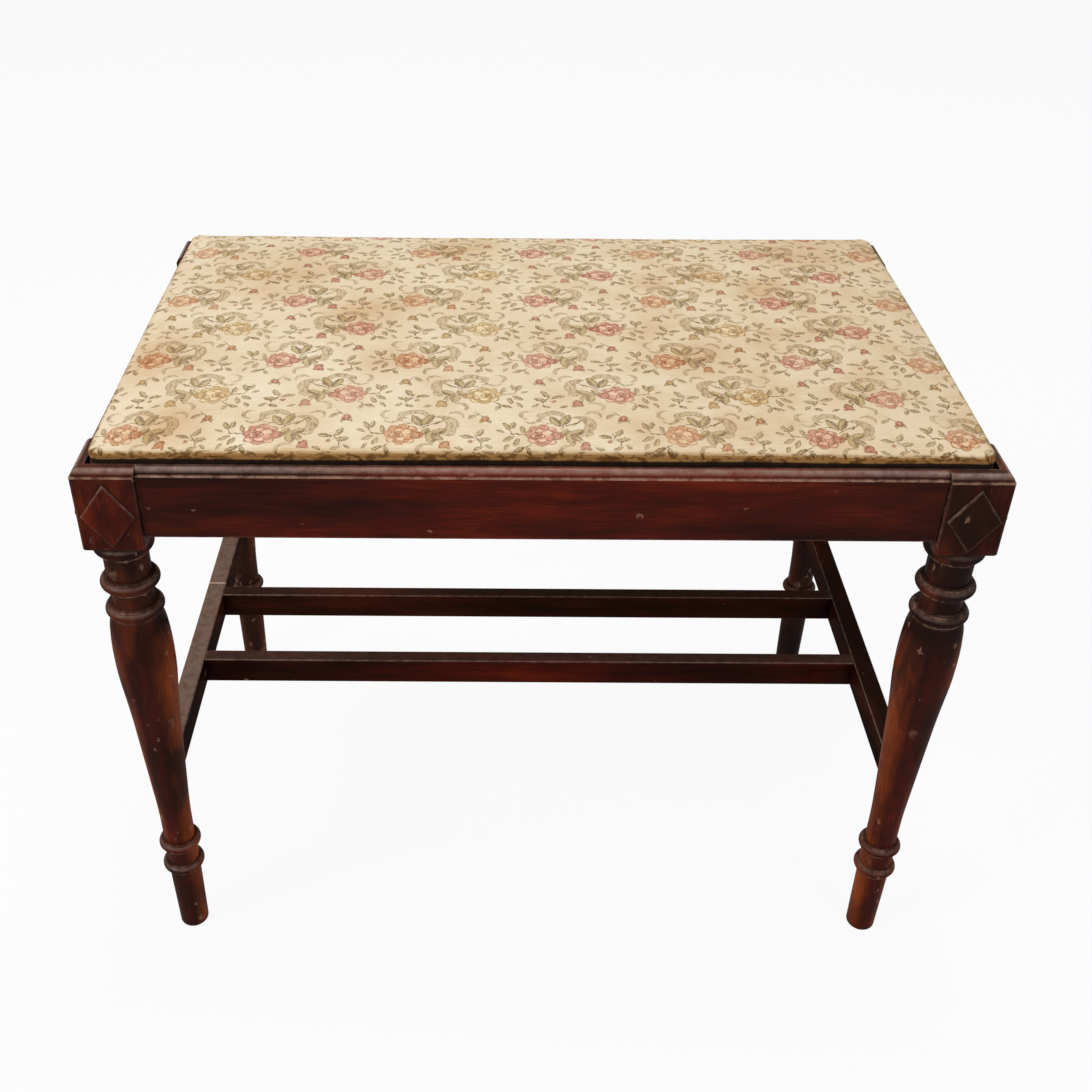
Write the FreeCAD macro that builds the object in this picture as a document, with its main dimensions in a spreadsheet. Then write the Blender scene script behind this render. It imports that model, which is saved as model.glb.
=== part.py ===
import FreeCAD, Part
import math
import os
import Sketcher
from FreeCAD import Placement, Rotation, Vector

# Upholstered bench on four turned legs, with a drop-in seat.
# Millimetres, +Z up, +X along the bench, front at -Y, origin on the floor under the middle.

doc = FreeCAD.newDocument("bench")

# Driving sizes.
SIZES = {
    "bench_length": 637,
    "bench_depth": 406,
    "frame_height": 480,
    "post_width": 44,
    "post_height": 66,
    "post_edge": 1.5,
    "post_foot_edge": 2.5,
    "apron_height": 55.5,
    "apron_thickness": 20,
    "apron_setback": 2.8,
    "apron_edge": 1,
    "ovolo_radius": 5.5,
    "ovolo_quirk": 1,
    "rim_end": 9.5,
    "rim_side": 10,
    "overcut": 2,
    "glue_gap": 0.1,
    "end_gap": 1,
    "seat_clearance": 1,
    "seat_corner": 8,
    "rebate_depth": 7,
    "seat_rise": 9.7,
    "seat_crown_long": 2,
    "seat_crown_short": 3.5,
    "seat_roll": 3,
    "cover_thickness": 0.8,
    "cover_turn": 34,
    "board_thickness": 9.5,
    "tack_inset": 24,
    "tack_pitch": 50,
    "tack_head_radius": 3.6,
    "tack_head_height": 0.9,
    "tack_radius": 0.9,
    "tack_length": 8,
    "dowel_radius": 4,
    "dowel_in_post": 16,
    "dowel_in_apron": 16,
    "dowel_low": 17,
    "dowel_high": 36,
    "lozenge_width": 38,
    "lozenge_height": 52,
    "lozenge_thickness": 1.7,
    "lozenge_bevel": 0.8,
    "lozenge_foot_gap": 3.5,
    "shoulder_drop": 6,
    "shoulder_half": 4.6,
    "shoulder_radius": 21.9,
    "shoulder_fillet_radius": 18.6,
    "neck_radius": 16.4,
    "collar_drop": 38,
    "collar_half": 3.7,
    "collar_radius": 21.7,
    "collar_fillet": 1.4,
    "collar_fillet_radius": 18.9,
    "cove_radius": 16.4,
    "cove_arc": 26,
    "throat_drop": 62.4,
    "throat_radius": 21.6,
    "vase_mouth_radius": 18.2,
    "vase_brow_radius": 21.4,
    "vase_brow_drop": 82,
    "vase_brow_arc": 44,
    "vase_crown_arc": 240,
    "vase_radius": 22.5,
    "vase_drop": 107,
    "vase_hip_arc": 321,
    "vase_hip_radius": 20.9,
    "vase_hip_drop": 140,
    "vase_sweep_arc": 1040,
    "taper_top_radius": 17.4,
    "taper_over_bar": 32,
    "taper_under_bar": 14.5,
    "taper_foot_radius": 13.5,
    "ankle_arc": 546,
    "ankle_radius": 12.75,
    "ankle_level": 122,
    "cuff_half": 3.5,
    "cuff_radius": 17.3,
    "cuff_fillet": 1.5,
    "cuff_fillet_radius": 14.7,
    "cuff_level": 101.4,
    "cuff_neck_radius": 13.5,
    "hoof_level": 75.8,
    "foot_top_radius": 13.1,
    "foot_radius": 12,
    "foot_edge": 2.2,
    "side_bar_width": 16.5,
    "side_bar_height": 25.5,
    "side_bar_level": 166.5,
    "side_pin_radius": 5.5,
    "side_pin_length": 20,
    "side_pin_past_axis": 2,
    "long_bar_width": 13.5,
    "long_bar_height": 25,
    "long_bar_drop": 0.6,
    "long_bar_offset": 47.5,
    "bar_edge": 1.2,
    "stub_width": 7,
    "stub_height": 14,
    "stub_length": 9,
    "block_reach": 62,
    "block_height": 24,
    "block_drop": 4,
    "screw_radius": 2,
    "screw_head_radius": 4,
    "screw_head_height": 2.4,
    "screw_length": 22,
    "screw_well_radius": 4.6,
    "screw_seat": 9,
    "screw_reach": 24,
    "screw_stagger": 4,
}

# Share of a bead's half height by which it stands out from its base.
BEAD_SWELL = 0.95

sheet = doc.addObject("Spreadsheet::Sheet", "Sizes")
for row, (alias, number) in enumerate(SIZES.items(), start=1):
    sheet.set(f"A{row}", alias)
    sheet.set(f"B{row}", str(number))
    sheet.setAlias(f"B{row}", alias)
doc.recompute()


def size(text):
    """Number that an expression over the sheet gives."""
    return float(sheet.evalExpression(text))


def named(text):
    """Expression with each alias written as a cell of the sheet."""
    words = []
    for word in text.replace("(", " ( ").replace(")", " ) ").split():
        words.append(f"Sizes.{word}" if word in SIZES else word)
    return " ".join(words)


# Levels and places that several pieces share.
LEG_X = "(bench_length / 2 - post_width / 2)"
LEG_Y = "(bench_depth / 2 - post_width / 2)"
POST_FOOT = "(frame_height - post_height)"
LEDGE = "(frame_height - rebate_depth)"
QUIRK = "(frame_height - ovolo_radius)"
REBATE_X = "(bench_length / 2 - rim_end)"
REBATE_Y = "(bench_depth / 2 - rim_side)"
SEAT_X = f"({REBATE_X} - seat_clearance)"
SEAT_Y = f"({REBATE_Y} - seat_clearance)"
BOARD_FOOT = f"({LEDGE} + cover_thickness)"
SEAT_TOP = "(frame_height + seat_rise + seat_crown_long + seat_crown_short)"
SIDE_BAR_MID = "(side_bar_level + side_bar_height / 2)"
LONG_BAR_MID = "(side_bar_level + side_bar_height - long_bar_drop - long_bar_height / 2)"
TAPER_FOOT = "(side_bar_level - taper_under_bar)"
TAPER_TOP = "(side_bar_level + side_bar_height + taper_over_bar)"


def bind(thing, prop, text):
    thing.setExpression(prop, named(text))


def body(label):
    made = doc.addObject("PartDesign::Body", label)
    made.Label = label
    return made


def place(thing, x, y, z):
    bind(thing, "Placement.Base.x", x)
    bind(thing, "Placement.Base.y", y)
    bind(thing, "Placement.Base.z", z)


def outline(owner, name, role, points, height="0"):
    """Closed sketch of lines and arcs; a point may carry the radius and side of the arc that leaves it."""
    sketch = owner.newObject("Sketcher::SketchObject", name)
    plane = [part for part in owner.Origin.OriginFeatures if part.Role == role][0]
    sketch.AttachmentSupport = (plane, [""])
    sketch.MapMode = "FlatFace"
    bind(sketch, "AttachmentOffset.Base.z", height)
    spots = [Vector(size(point[0]), size(point[1]), 0) for point in points]
    count = len(points)
    starts = []
    ends = []
    limits = []
    for index, point in enumerate(points):
        here = spots[index]
        there = spots[(index + 1) % count]
        if len(point) == 2:
            sketch.addGeometry(Part.LineSegment(here, there))
            starts.append(1)
            ends.append(2)
            continue
        radius = size(point[2])
        chord = there - here
        lift = math.sqrt(max(radius ** 2 - chord.Length ** 2 / 4, 0))
        across = Vector(-chord.y, chord.x, 0).normalize()
        centre = (here + there) * 0.5 + across * (lift * point[3])
        first, last = (here, there) if point[3] > 0 else (there, here)
        turn = [math.atan2(spot.y - centre.y, spot.x - centre.x) for spot in (first, last)]
        circle = Part.Circle(centre, Vector(0, 0, 1), radius)
        sketch.addGeometry(Part.ArcOfCircle(circle, turn[0], turn[1]))
        starts.append(1 if point[3] > 0 else 2)
        ends.append(2 if point[3] > 0 else 1)
        limits.append((Sketcher.Constraint("Radius", index, radius), f"arc{index}", point[2]))
    for index, point in enumerate(points):
        following = (index + 1) % count
        join = Sketcher.Constraint("Coincident", index, ends[index], following, starts[following])
        limits.append((join, "", ""))
        for kind, value, coordinate in (("X", point[0], spots[index].x), ("Y", point[1], spots[index].y)):
            reach = Sketcher.Constraint(f"Distance{kind}", -1, 1, index, starts[index], coordinate)
            limits.append((reach, f"{kind.lower()}{index}", value))
    sketch.addConstraint([limit[0] for limit in limits])
    for index, (limit, label, value) in enumerate(limits):
        if label:
            sketch.renameConstraint(index, label)
    for limit, label, value in limits:
        if label:
            bind(sketch, f"Constraints.{label}", value)
    return sketch


def pad(owner, sketch, length, symmetric=False, reverse=False):
    made = owner.newObject("PartDesign::Pad", "pad")
    made.Profile = sketch
    bind(made, "Length", length)
    made.SideType = "Symmetric" if symmetric else "One side"
    made.Reversed = reverse
    return made


def pocket(owner, sketch, length, symmetric=False, reverse=False):
    made = owner.newObject("PartDesign::Pocket", "pocket")
    made.Profile = sketch
    bind(made, "Length", length)
    made.SideType = "Symmetric" if symmetric else "One side"
    made.Reversed = reverse
    return made


def primitive(owner, kind, spot, turn=None, **sizes):
    """Additive or subtractive cylinder, cone or box, turned from +Z onto another axis."""
    made = owner.newObject(f"PartDesign::{kind}", kind.lower())
    if turn:
        made.Placement = Placement(Vector(), Rotation(Vector(0, 0, 1), Vector(*turn)))
    for prop, text in sizes.items():
        bind(made, prop, text)
    place(made, *spot)
    return made


def soften(owner, kind, amount, wanted):
    """Fillet or chamfer on the tip's edges that the test picks."""
    tip = owner.Tip
    tip.recompute(True)
    names = [f"Edge{index}" for index, edge in enumerate(tip.Shape.Edges, start=1) if wanted(edge)]
    made = owner.newObject(f"PartDesign::{kind}", kind.lower())
    made.Base = (tip, names)
    bind(made, "Radius" if kind == "Fillet" else "Size", amount)
    return made


def upright(edge):
    return isinstance(edge.Curve, Part.Line) and abs(edge.tangentAt(edge.FirstParameter).z) > 0.99


def near(one, other):
    return abs(one - other) < 1e-4


CORNERS = {
    "front_left": (-1, -1),
    "front_right": (1, -1),
    "rear_left": (-1, 1),
    "rear_right": (1, 1),
}


# Turned leg blank: a square block above one turned profile, from the shoulder ring down to the foot.
def bead(level, half, radius, fillet_radius, fillet):
    """Half-round bead between two fillets, from the bottom up, with a quirk on each side of the bead."""
    base = f"{radius} - {BEAD_SWELL} * {half}"
    sweep = f"{half} * (1 + {BEAD_SWELL} ^ 2) / (2 * {BEAD_SWELL})"
    return [
        (fillet_radius, f"{level} - {half} - {fillet}"),
        (fillet_radius, f"{level} - {half}"),
        (base, f"{level} - {half}", sweep, 1),
        (base, f"{level} + {half}"),
        (fillet_radius, f"{level} + {half}"),
        (fillet_radius, f"{level} + {half} + {fillet}"),
    ]


COLLAR = f"({POST_FOOT} - collar_drop)"
THROAT = f"({POST_FOOT} - throat_drop)"
SHOULDER = f"({POST_FOOT} - shoulder_drop)"
leg_profile = [
    ("0", "0"),
    ("foot_radius - foot_edge", "0", "foot_edge", 1),
    ("foot_radius", "foot_edge"),
    ("foot_top_radius", "hoof_level - cuff_half - cuff_fillet"),
]
leg_profile += bead("hoof_level", "cuff_half", "cuff_radius", "cuff_fillet_radius", "cuff_fillet")
leg_profile += [
    ("cuff_neck_radius", "hoof_level + cuff_half + cuff_fillet"),
    ("cuff_neck_radius", "cuff_level - cuff_half - cuff_fillet"),
]
leg_profile += bead("cuff_level", "cuff_half", "cuff_radius", "cuff_fillet_radius", "cuff_fillet")
leg_profile += [
    ("ankle_radius", "cuff_level + cuff_half + cuff_fillet"),
    ("ankle_radius", "ankle_level", "ankle_arc", -1),
    ("taper_foot_radius", TAPER_FOOT),
    ("taper_top_radius", TAPER_TOP, "vase_sweep_arc", -1),
    ("vase_hip_radius", f"{POST_FOOT} - vase_hip_drop", "vase_hip_arc", 1),
    ("vase_radius", f"{POST_FOOT} - vase_drop", "vase_crown_arc", 1),
    ("vase_brow_radius", f"{POST_FOOT} - vase_brow_drop", "vase_brow_arc", 1),
    ("vase_mouth_radius", f"{THROAT} - collar_half - collar_fillet"),
]
leg_profile += bead(THROAT, "collar_half", "throat_radius", "collar_fillet_radius", "collar_fillet")
leg_profile += [
    ("cove_radius", f"{THROAT} + collar_half + collar_fillet", "cove_arc", -1),
    ("cove_radius", f"{COLLAR} - collar_half - collar_fillet"),
]
leg_profile += bead(COLLAR, "collar_half", "collar_radius", "collar_fillet_radius", "collar_fillet")
leg_profile += [
    ("neck_radius", f"{COLLAR} + collar_half + collar_fillet"),
    ("neck_radius", f"{SHOULDER} - shoulder_half - collar_fillet"),
]
leg_profile += bead(SHOULDER, "shoulder_half", "shoulder_radius", "shoulder_fillet_radius", "collar_fillet")
leg_profile += [
    ("shoulder_fillet_radius", f"{POST_FOOT} + overcut"),
    ("0", f"{POST_FOOT} + overcut"),
]

POST_HALF = "(post_width / 2)"
leg_blank = body("leg_blank")
square = outline(leg_blank, "plan", "XY_Plane", [
    (f"- {POST_HALF}", f"- {POST_HALF}"),
    (POST_HALF, f"- {POST_HALF}"),
    (POST_HALF, POST_HALF),
    (f"- {POST_HALF}", POST_HALF),
], POST_FOOT)
pad(leg_blank, square, "post_height")
soften(leg_blank, "Fillet", "post_edge", upright)
soften(leg_blank, "Fillet", "post_foot_edge", lambda edge: all(
    near(vertex.Z, size(POST_FOOT)) for vertex in edge.Vertexes))
profile = outline(leg_blank, "turning", "XZ_Plane", leg_profile)
turned = leg_blank.newObject("PartDesign::Revolution", "turned")
turned.Profile = profile
turned.ReferenceAxis = (profile, ["V_Axis"])
turned.Angle = 360
doc.recompute()


# Legs: the blank moulded on its outer faces, notched for the seat, bored for dowels and the side stretcher.
for corner, (right, back) in CORNERS.items():
    leg = body(f"leg_{corner}")
    leg.BaseFeature = leg_blank
    for role, sign in (("XZ_Plane", right), ("YZ_Plane", back)):
        waste = outline(leg, "ovolo", role, [
            (f"{sign} * ({POST_HALF} + overcut)", QUIRK),
            (f"{sign} * ({POST_HALF} - ovolo_quirk)", QUIRK, "ovolo_radius", sign),
            (f"{sign} * ({POST_HALF} - ovolo_quirk - ovolo_radius)", "frame_height"),
            (f"{sign} * ({POST_HALF} - ovolo_quirk - ovolo_radius)", "frame_height + overcut"),
            (f"{sign} * ({POST_HALF} + overcut)", "frame_height + overcut"),
        ])
        pocket(leg, waste, "post_width + 2 * overcut", symmetric=True)
    wall_x = f"{right} * ({REBATE_X} - {LEG_X})"
    wall_y = f"{back} * ({REBATE_Y} - {LEG_Y})"
    notch = outline(leg, "notch", "XY_Plane", [
        (wall_x, wall_y),
        (f"{-right} * ({POST_HALF} + overcut)", wall_y),
        (f"{-right} * ({POST_HALF} + overcut)", f"{-back} * ({POST_HALF} + overcut)"),
        (wall_x, f"{-back} * ({POST_HALF} + overcut)"),
    ], "frame_height")
    pocket(leg, notch, "rebate_depth")
    dowel_line = f"({POST_HALF} - apron_setback - apron_thickness / 2)"
    dowel_end = f"({POST_HALF} - dowel_in_post - end_gap)"
    for level in ("dowel_low", "dowel_high"):
        rise = f"frame_height - apron_height + {level}"
        primitive(
            leg, "SubtractiveCylinder", (f"{-right} * {dowel_end}", f"{back} * {dowel_line}", rise),
            turn=(-right, 0, 0), Radius="dowel_radius + glue_gap", Height="dowel_in_post + end_gap + overcut",
        )
        primitive(
            leg, "SubtractiveCylinder", (f"{right} * {dowel_line}", f"{-back} * {dowel_end}", rise),
            turn=(0, -back, 0), Radius="dowel_radius + glue_gap", Height="dowel_in_post + end_gap + overcut",
        )
    primitive(
        leg, "SubtractiveCylinder", ("0", f"{back} * (side_pin_past_axis + end_gap)", SIDE_BAR_MID),
        turn=(0, -back, 0), Radius="side_pin_radius + glue_gap", Height="taper_top_radius + side_pin_past_axis + end_gap",
    )
    place(leg, f"{right} * {LEG_X}", f"{back} * {LEG_Y}", "0")


# Lozenges on the blocks' outer faces.
LOZENGE_MID = f"({POST_FOOT} + lozenge_foot_gap + lozenge_height / 2)"
lozenges = []
for corner, (right, back) in CORNERS.items():
    for side, role, sign in (("long", "XZ_Plane", back), ("end", "YZ_Plane", right)):
        lozenge = body(f"lozenge_{corner}_{side}")
        rhomb = outline(lozenge, "rhomb", role, [
            ("lozenge_width / 2", LOZENGE_MID),
            ("0", f"{LOZENGE_MID} + lozenge_height / 2"),
            ("- lozenge_width / 2", LOZENGE_MID),
            ("0", f"{LOZENGE_MID} - lozenge_height / 2"),
        ])
        pad(lozenge, rhomb, "lozenge_thickness", reverse=back > 0 if side == "long" else right < 0)
        if side == "long":
            place(lozenge, f"{right} * {LEG_X}", f"{back} * bench_depth / 2", "0")
        else:
            place(lozenge, f"{right} * bench_length / 2", f"{back} * {LEG_Y}", "0")
        lozenges.append((lozenge, "Y" if side == "long" else "X", sign))
doc.recompute()
for lozenge, axis, sign in lozenges:
    soften(lozenge, "Chamfer", "lozenge_bevel", lambda edge: all(
        near(getattr(vertex, axis), sign * size("lozenge_thickness")) for vertex in edge.Vertexes))


# Aprons: one moulded and rebated section run between the posts, bored for dowels at both ends.
APRONS = {
    "front": ("YZ_Plane", -1, "bench_depth", "bench_length", REBATE_Y),
    "rear": ("YZ_Plane", 1, "bench_depth", "bench_length", REBATE_Y),
    "left": ("XZ_Plane", -1, "bench_length", "bench_depth", REBATE_X),
    "right": ("XZ_Plane", 1, "bench_length", "bench_depth", REBATE_X),
}
for side, (role, sign, across, along, wall) in APRONS.items():
    apron = body(f"apron_{side}")
    face = f"({across} / 2 - apron_setback)"
    foot = "(frame_height - apron_height)"
    section = outline(apron, "section", role, [
        (f"{sign} * {face}", f"{foot} + apron_edge"),
        (f"{sign} * {face}", QUIRK),
        (f"{sign} * ({face} - ovolo_quirk)", QUIRK, "ovolo_radius", sign),
        (f"{sign} * ({face} - ovolo_quirk - ovolo_radius)", "frame_height"),
        (f"{sign} * {wall}", "frame_height"),
        (f"{sign} * {wall}", LEDGE),
        (f"{sign} * ({face} - apron_thickness)", LEDGE),
        (f"{sign} * ({face} - apron_thickness)", foot),
        (f"{sign} * ({face} - apron_edge)", foot, "apron_edge", sign),
    ])
    pad(apron, section, f"{along} - 2 * post_width", symmetric=True)
    end = f"({along} / 2 - post_width)"
    line = f"{sign} * ({face} - apron_thickness / 2)"
    for level in ("dowel_low", "dowel_high"):
        for way in (-1, 1):
            reach = f"{way} * ({end} - dowel_in_apron - end_gap)"
            spot = (reach, line, f"{foot} + {level}") if role == "YZ_Plane" else (line, reach, f"{foot} + {level}")
            primitive(
                apron, "SubtractiveCylinder", spot, turn=(way, 0, 0) if role == "YZ_Plane" else (0, way, 0),
                Radius="dowel_radius + glue_gap", Height="dowel_in_apron + end_gap + overcut",
            )
    place(apron, "0", "0", "0")


# Dowels between aprons and posts.
dowels = []
for right, back in CORNERS.values():
    for level in ("dowel_low", "dowel_high"):
        for along_x in (True, False):
            dowel = doc.addObject("Part::Cylinder", "dowel")
            turn = (-right, 0, 0) if along_x else (0, -back, 0)
            dowel.Placement = Placement(Vector(), Rotation(Vector(0, 0, 1), Vector(*turn)))
            bind(dowel, "Radius", "dowel_radius")
            bind(dowel, "Height", "dowel_in_post + dowel_in_apron")
            line_x = f"{right} * (bench_length / 2 - apron_setback - apron_thickness / 2)"
            line_y = f"{back} * (bench_depth / 2 - apron_setback - apron_thickness / 2)"
            start_x = f"{right} * (bench_length / 2 - post_width + dowel_in_post)"
            start_y = f"{back} * (bench_depth / 2 - post_width + dowel_in_post)"
            place(
                dowel, start_x if along_x else line_x, line_y if along_x else start_y,
                f"frame_height - apron_height + {level}",
            )
            dowels.append(dowel)
apron_dowels = doc.addObject("Part::Compound", "apron_dowels")
apron_dowels.Label = "apron_dowels"
apron_dowels.Links = dowels


def bar(label, role, width, height, middle, length):
    """Rectangular bar with eased edges, centred on the origin along its length."""
    made = body(label)
    section = outline(made, "section", role, [
        (f"- {width} / 2 + bar_edge", f"{middle} - {height} / 2"),
        (f"{width} / 2 - bar_edge", f"{middle} - {height} / 2", "bar_edge", 1),
        (f"{width} / 2", f"{middle} - {height} / 2 + bar_edge"),
        (f"{width} / 2", f"{middle} + {height} / 2 - bar_edge", "bar_edge", 1),
        (f"{width} / 2 - bar_edge", f"{middle} + {height} / 2"),
        (f"- {width} / 2 + bar_edge", f"{middle} + {height} / 2", "bar_edge", 1),
        (f"- {width} / 2", f"{middle} + {height} / 2 - bar_edge"),
        (f"- {width} / 2", f"{middle} - {height} / 2 + bar_edge", "bar_edge", 1),
    ])
    pad(made, section, length, symmetric=True)
    return made


# Side stretchers: shoulders coped to the leg's taper, round tenons, mortises for the long stretchers.
for side, right in (("left", -1), ("right", 1)):
    stretcher = bar(
        f"stretcher_{side}", "XZ_Plane", "side_bar_width", "side_bar_height", SIDE_BAR_MID, f"2 * {LEG_Y}",
    )
    for back in (-1, 1):
        primitive(
            stretcher, "SubtractiveCone", ("0", f"{back} * {LEG_Y}", TAPER_FOOT),
            Radius1="taper_foot_radius", Radius2="taper_top_radius", Height=f"{TAPER_TOP} - {TAPER_FOOT}",
        )
        primitive(
            stretcher, "AdditiveCylinder", ("0", f"{back} * ({LEG_Y} - side_pin_length)", SIDE_BAR_MID),
            turn=(0, back, 0), Radius="side_pin_radius", Height="side_pin_length + side_pin_past_axis",
        )
        primitive(
            stretcher, "SubtractiveBox",
            (
                f"{-right} * (side_bar_width / 2 - stub_length / 2 + overcut / 2 - glue_gap)"
                " - (stub_length + overcut) / 2",
                f"{back} * long_bar_offset - stub_width / 2 - glue_gap",
                f"{LONG_BAR_MID} - stub_height / 2 - glue_gap",
            ),
            Length="stub_length + overcut", Width="stub_width + 2 * glue_gap", Height="stub_height + 2 * glue_gap",
        )
    place(stretcher, f"{right} * {LEG_X}", "0", "0")


# Long stretchers: stub tenons into the side stretchers.
LONG_BAR_LENGTH = f"(2 * {LEG_X} - side_bar_width)"
for side, back in (("front", -1), ("rear", 1)):
    stretcher = bar(
        f"stretcher_{side}", "YZ_Plane", "long_bar_width", "long_bar_height", LONG_BAR_MID, LONG_BAR_LENGTH,
    )
    primitive(
        stretcher, "AdditiveBox",
        (
            f"- {LONG_BAR_LENGTH} / 2 - stub_length + 2 * glue_gap",
            "- stub_width / 2",
            f"{LONG_BAR_MID} - stub_height / 2",
        ),
        Length=f"{LONG_BAR_LENGTH} + 2 * stub_length - 4 * glue_gap", Width="stub_width", Height="stub_height",
    )
    place(stretcher, "0", f"{back} * long_bar_offset", "0")


# Glue blocks in the inside corners, notched round the posts, with wells for the screws.
screw = body("screw")
shank_edge = outline(screw, "shank", "XZ_Plane", [
    ("0", "0"),
    ("screw_head_radius", "0"),
    ("screw_head_radius * 0.9", "screw_head_height * 0.6"),
    ("screw_head_radius * 0.55", "screw_head_height"),
    ("0", "screw_head_height"),
])
head = screw.newObject("PartDesign::Revolution", "head")
head.Profile = shank_edge
head.ReferenceAxis = (shank_edge, ["V_Axis"])
head.Angle = 360
primitive(
    screw, "AdditiveCone", ("0", "0", "- screw_length"),
    Radius1="screw_radius * 0.2", Radius2="screw_radius", Height="screw_length * 0.25",
)
primitive(
    screw, "AdditiveCylinder", ("0", "0", "- screw_length * 0.75"),
    Radius="screw_radius", Height="screw_length * 0.75",
)
primitive(
    screw, "SubtractiveBox",
    ("- screw_head_radius", "- screw_head_radius * 0.1", "screw_head_height * 0.55"),
    Length="2 * screw_head_radius", Width="screw_head_radius * 0.2", Height="screw_head_height",
)
doc.recompute()

screw_shapes = []
BLOCK_TOP = f"({LEDGE} - block_drop)"
INNER = "(post_width / 2 - apron_setback - apron_thickness)"
for corner, (right, back) in CORNERS.items():
    block = body(f"corner_block_{corner}")
    near_x = f"{right} * {INNER}"
    near_y = f"{back} * {INNER}"
    plan = outline(block, "plan", "XY_Plane", [
        (f"{-right} * {POST_HALF}", near_y),
        (f"{right} * ({INNER} - block_reach)", near_y),
        (near_x, f"{back} * ({INNER} - block_reach)"),
        (near_x, f"{-back} * {POST_HALF}"),
        (f"{-right} * {POST_HALF}", f"{-back} * {POST_HALF}"),
    ], f"{BLOCK_TOP} - block_height")
    pad(block, plan, "block_height")
    middle = f"{BLOCK_TOP} - block_height / 2"
    apron_spots = (
        ((0, back, 0), f"{right} * ({INNER} - block_reach / 2 - screw_reach / 2)", near_y),
        ((right, 0, 0), near_x, f"{back} * ({INNER} - block_reach / 2 - screw_reach / 2)"),
    )
    for drive, spot_x, spot_y in apron_spots:
        level = f"{middle} + {1 if drive[0] else -1} * screw_stagger"
        primitive(
            block, "SubtractiveCylinder",
            (
                f"{spot_x} - {drive[0]} * block_reach",
                f"{spot_y} - {drive[1]} * block_reach",
                level,
            ),
            turn=drive, Radius="screw_radius + glue_gap", Height="block_reach + overcut",
        )
        primitive(
            block, "SubtractiveCylinder",
            (
                f"{spot_x} - {drive[0]} * screw_seat",
                f"{spot_y} - {drive[1]} * screw_seat",
                level,
            ),
            turn=tuple(-value for value in drive), Radius="screw_well_radius", Height="block_reach",
        )
        shape = screw.Shape.copy()
        turn = Rotation(Vector(0, 0, 1), Vector(*[-value for value in drive]))
        spot = Vector(
            size(f"{spot_x} - {drive[0]} * screw_seat + {right} * {LEG_X}"),
            size(f"{spot_y} - {drive[1]} * screw_seat + {back} * {LEG_Y}"),
            size(level),
        )
        shape.Placement = Placement(spot, turn)
        screw_shapes.append(shape)
        side = ("left" if right < 0 else "right") if drive[0] else ("front" if back < 0 else "rear")
        apron = doc.getObject(f"apron_{side}")
        primitive(
            apron, "SubtractiveCylinder",
            (
                f"{spot_x} - {drive[0]} * overcut + {right} * {LEG_X}",
                f"{spot_y} - {drive[1]} * overcut + {back} * {LEG_Y}",
                level,
            ),
            turn=drive, Radius="screw_radius + glue_gap", Height="screw_length - screw_seat + overcut + end_gap",
        )
    place(block, f"{right} * {LEG_X}", f"{back} * {LEG_Y}", "0")
corner_screws = doc.addObject("Part::Feature", "corner_block_screws")
corner_screws.Label = "corner_block_screws"
corner_screws.Shape = Part.makeCompound(screw_shapes)


# Seat: a crowned form with rolled edges, cut into padding and cover over a plain board.
def rounded_plan(owner, name, inset, height):
    long_half = f"({SEAT_X} - {inset})"
    short_half = f"({SEAT_Y} - {inset})"
    bend = f"(seat_corner - {inset})"
    return outline(owner, name, "XY_Plane", [
        (f"- {long_half} + {bend}", f"- {short_half}"),
        (f"{long_half} - {bend}", f"- {short_half}", bend, 1),
        (long_half, f"- {short_half} + {bend}"),
        (long_half, f"{short_half} - {bend}", bend, 1),
        (f"{long_half} - {bend}", short_half),
        (f"- {long_half} + {bend}", short_half, bend, 1),
        (f"- {long_half}", f"{short_half} - {bend}"),
        (f"- {long_half}", f"- {short_half} + {bend}", bend, 1),
    ], height)


def crowned(label, inset, foot):
    """Board-shaped form whose top swells both ways and whose upper edge rolls over."""
    made = body(label)
    pad(made, rounded_plan(made, "plan", inset, foot), f"{SEAT_TOP} + overcut - {foot}")
    top = f"({SEAT_TOP} - {inset})"
    half = SEAT_X
    swell = f"({half} ^ 2 + seat_crown_long ^ 2) / (2 * seat_crown_long)"
    axis_drop = f"({SEAT_Y} ^ 2 + seat_crown_short ^ 2) / (2 * seat_crown_short)"
    waste = outline(made, "crown", "XZ_Plane", [
        (half, f"{top} - seat_crown_long", swell, 1),
        (f"- {half}", f"{top} - seat_crown_long"),
        (f"- {half}", f"{top} + seat_crown_short + 3 * overcut"),
        (half, f"{top} + seat_crown_short + 3 * overcut"),
    ])
    drop = size(f"{top} - {axis_drop}")
    index = waste.addGeometry(Part.LineSegment(Vector(-50, drop, 0), Vector(50, drop, 0)), True)
    count = waste.ConstraintCount
    waste.addConstraint([
        Sketcher.Constraint("DistanceX", -1, 1, index, 1, -50),
        Sketcher.Constraint("DistanceX", -1, 1, index, 2, 50),
        Sketcher.Constraint("DistanceY", -1, 1, index, 1, drop),
        Sketcher.Constraint("DistanceY", -1, 1, index, 2, drop),
    ])
    for step, label_text in ((2, "axis_start"), (3, "axis_end")):
        waste.renameConstraint(count + step, label_text)
        bind(waste, f"Constraints.{label_text}", f"{top} - {axis_drop}")
    groove = made.newObject("PartDesign::Groove", "crown_cut")
    groove.Profile = waste
    groove.ReferenceAxis = (waste, ["Axis0"])
    groove.Midplane = True
    groove.Angle = 10
    soften(made, "Fillet", f"seat_roll - {inset}", lambda edge: edge.BoundBox.ZMin > size(
        f"{top} - seat_crown_long - seat_crown_short - 1"))
    return made


outer_form = crowned("outer_form", "0", LEDGE)
inner_form = crowned("inner_form", "cover_thickness", BOARD_FOOT)

plank = body("plank")
pad(plank, rounded_plan(plank, "plan", "cover_thickness", BOARD_FOOT), "board_thickness")

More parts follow.
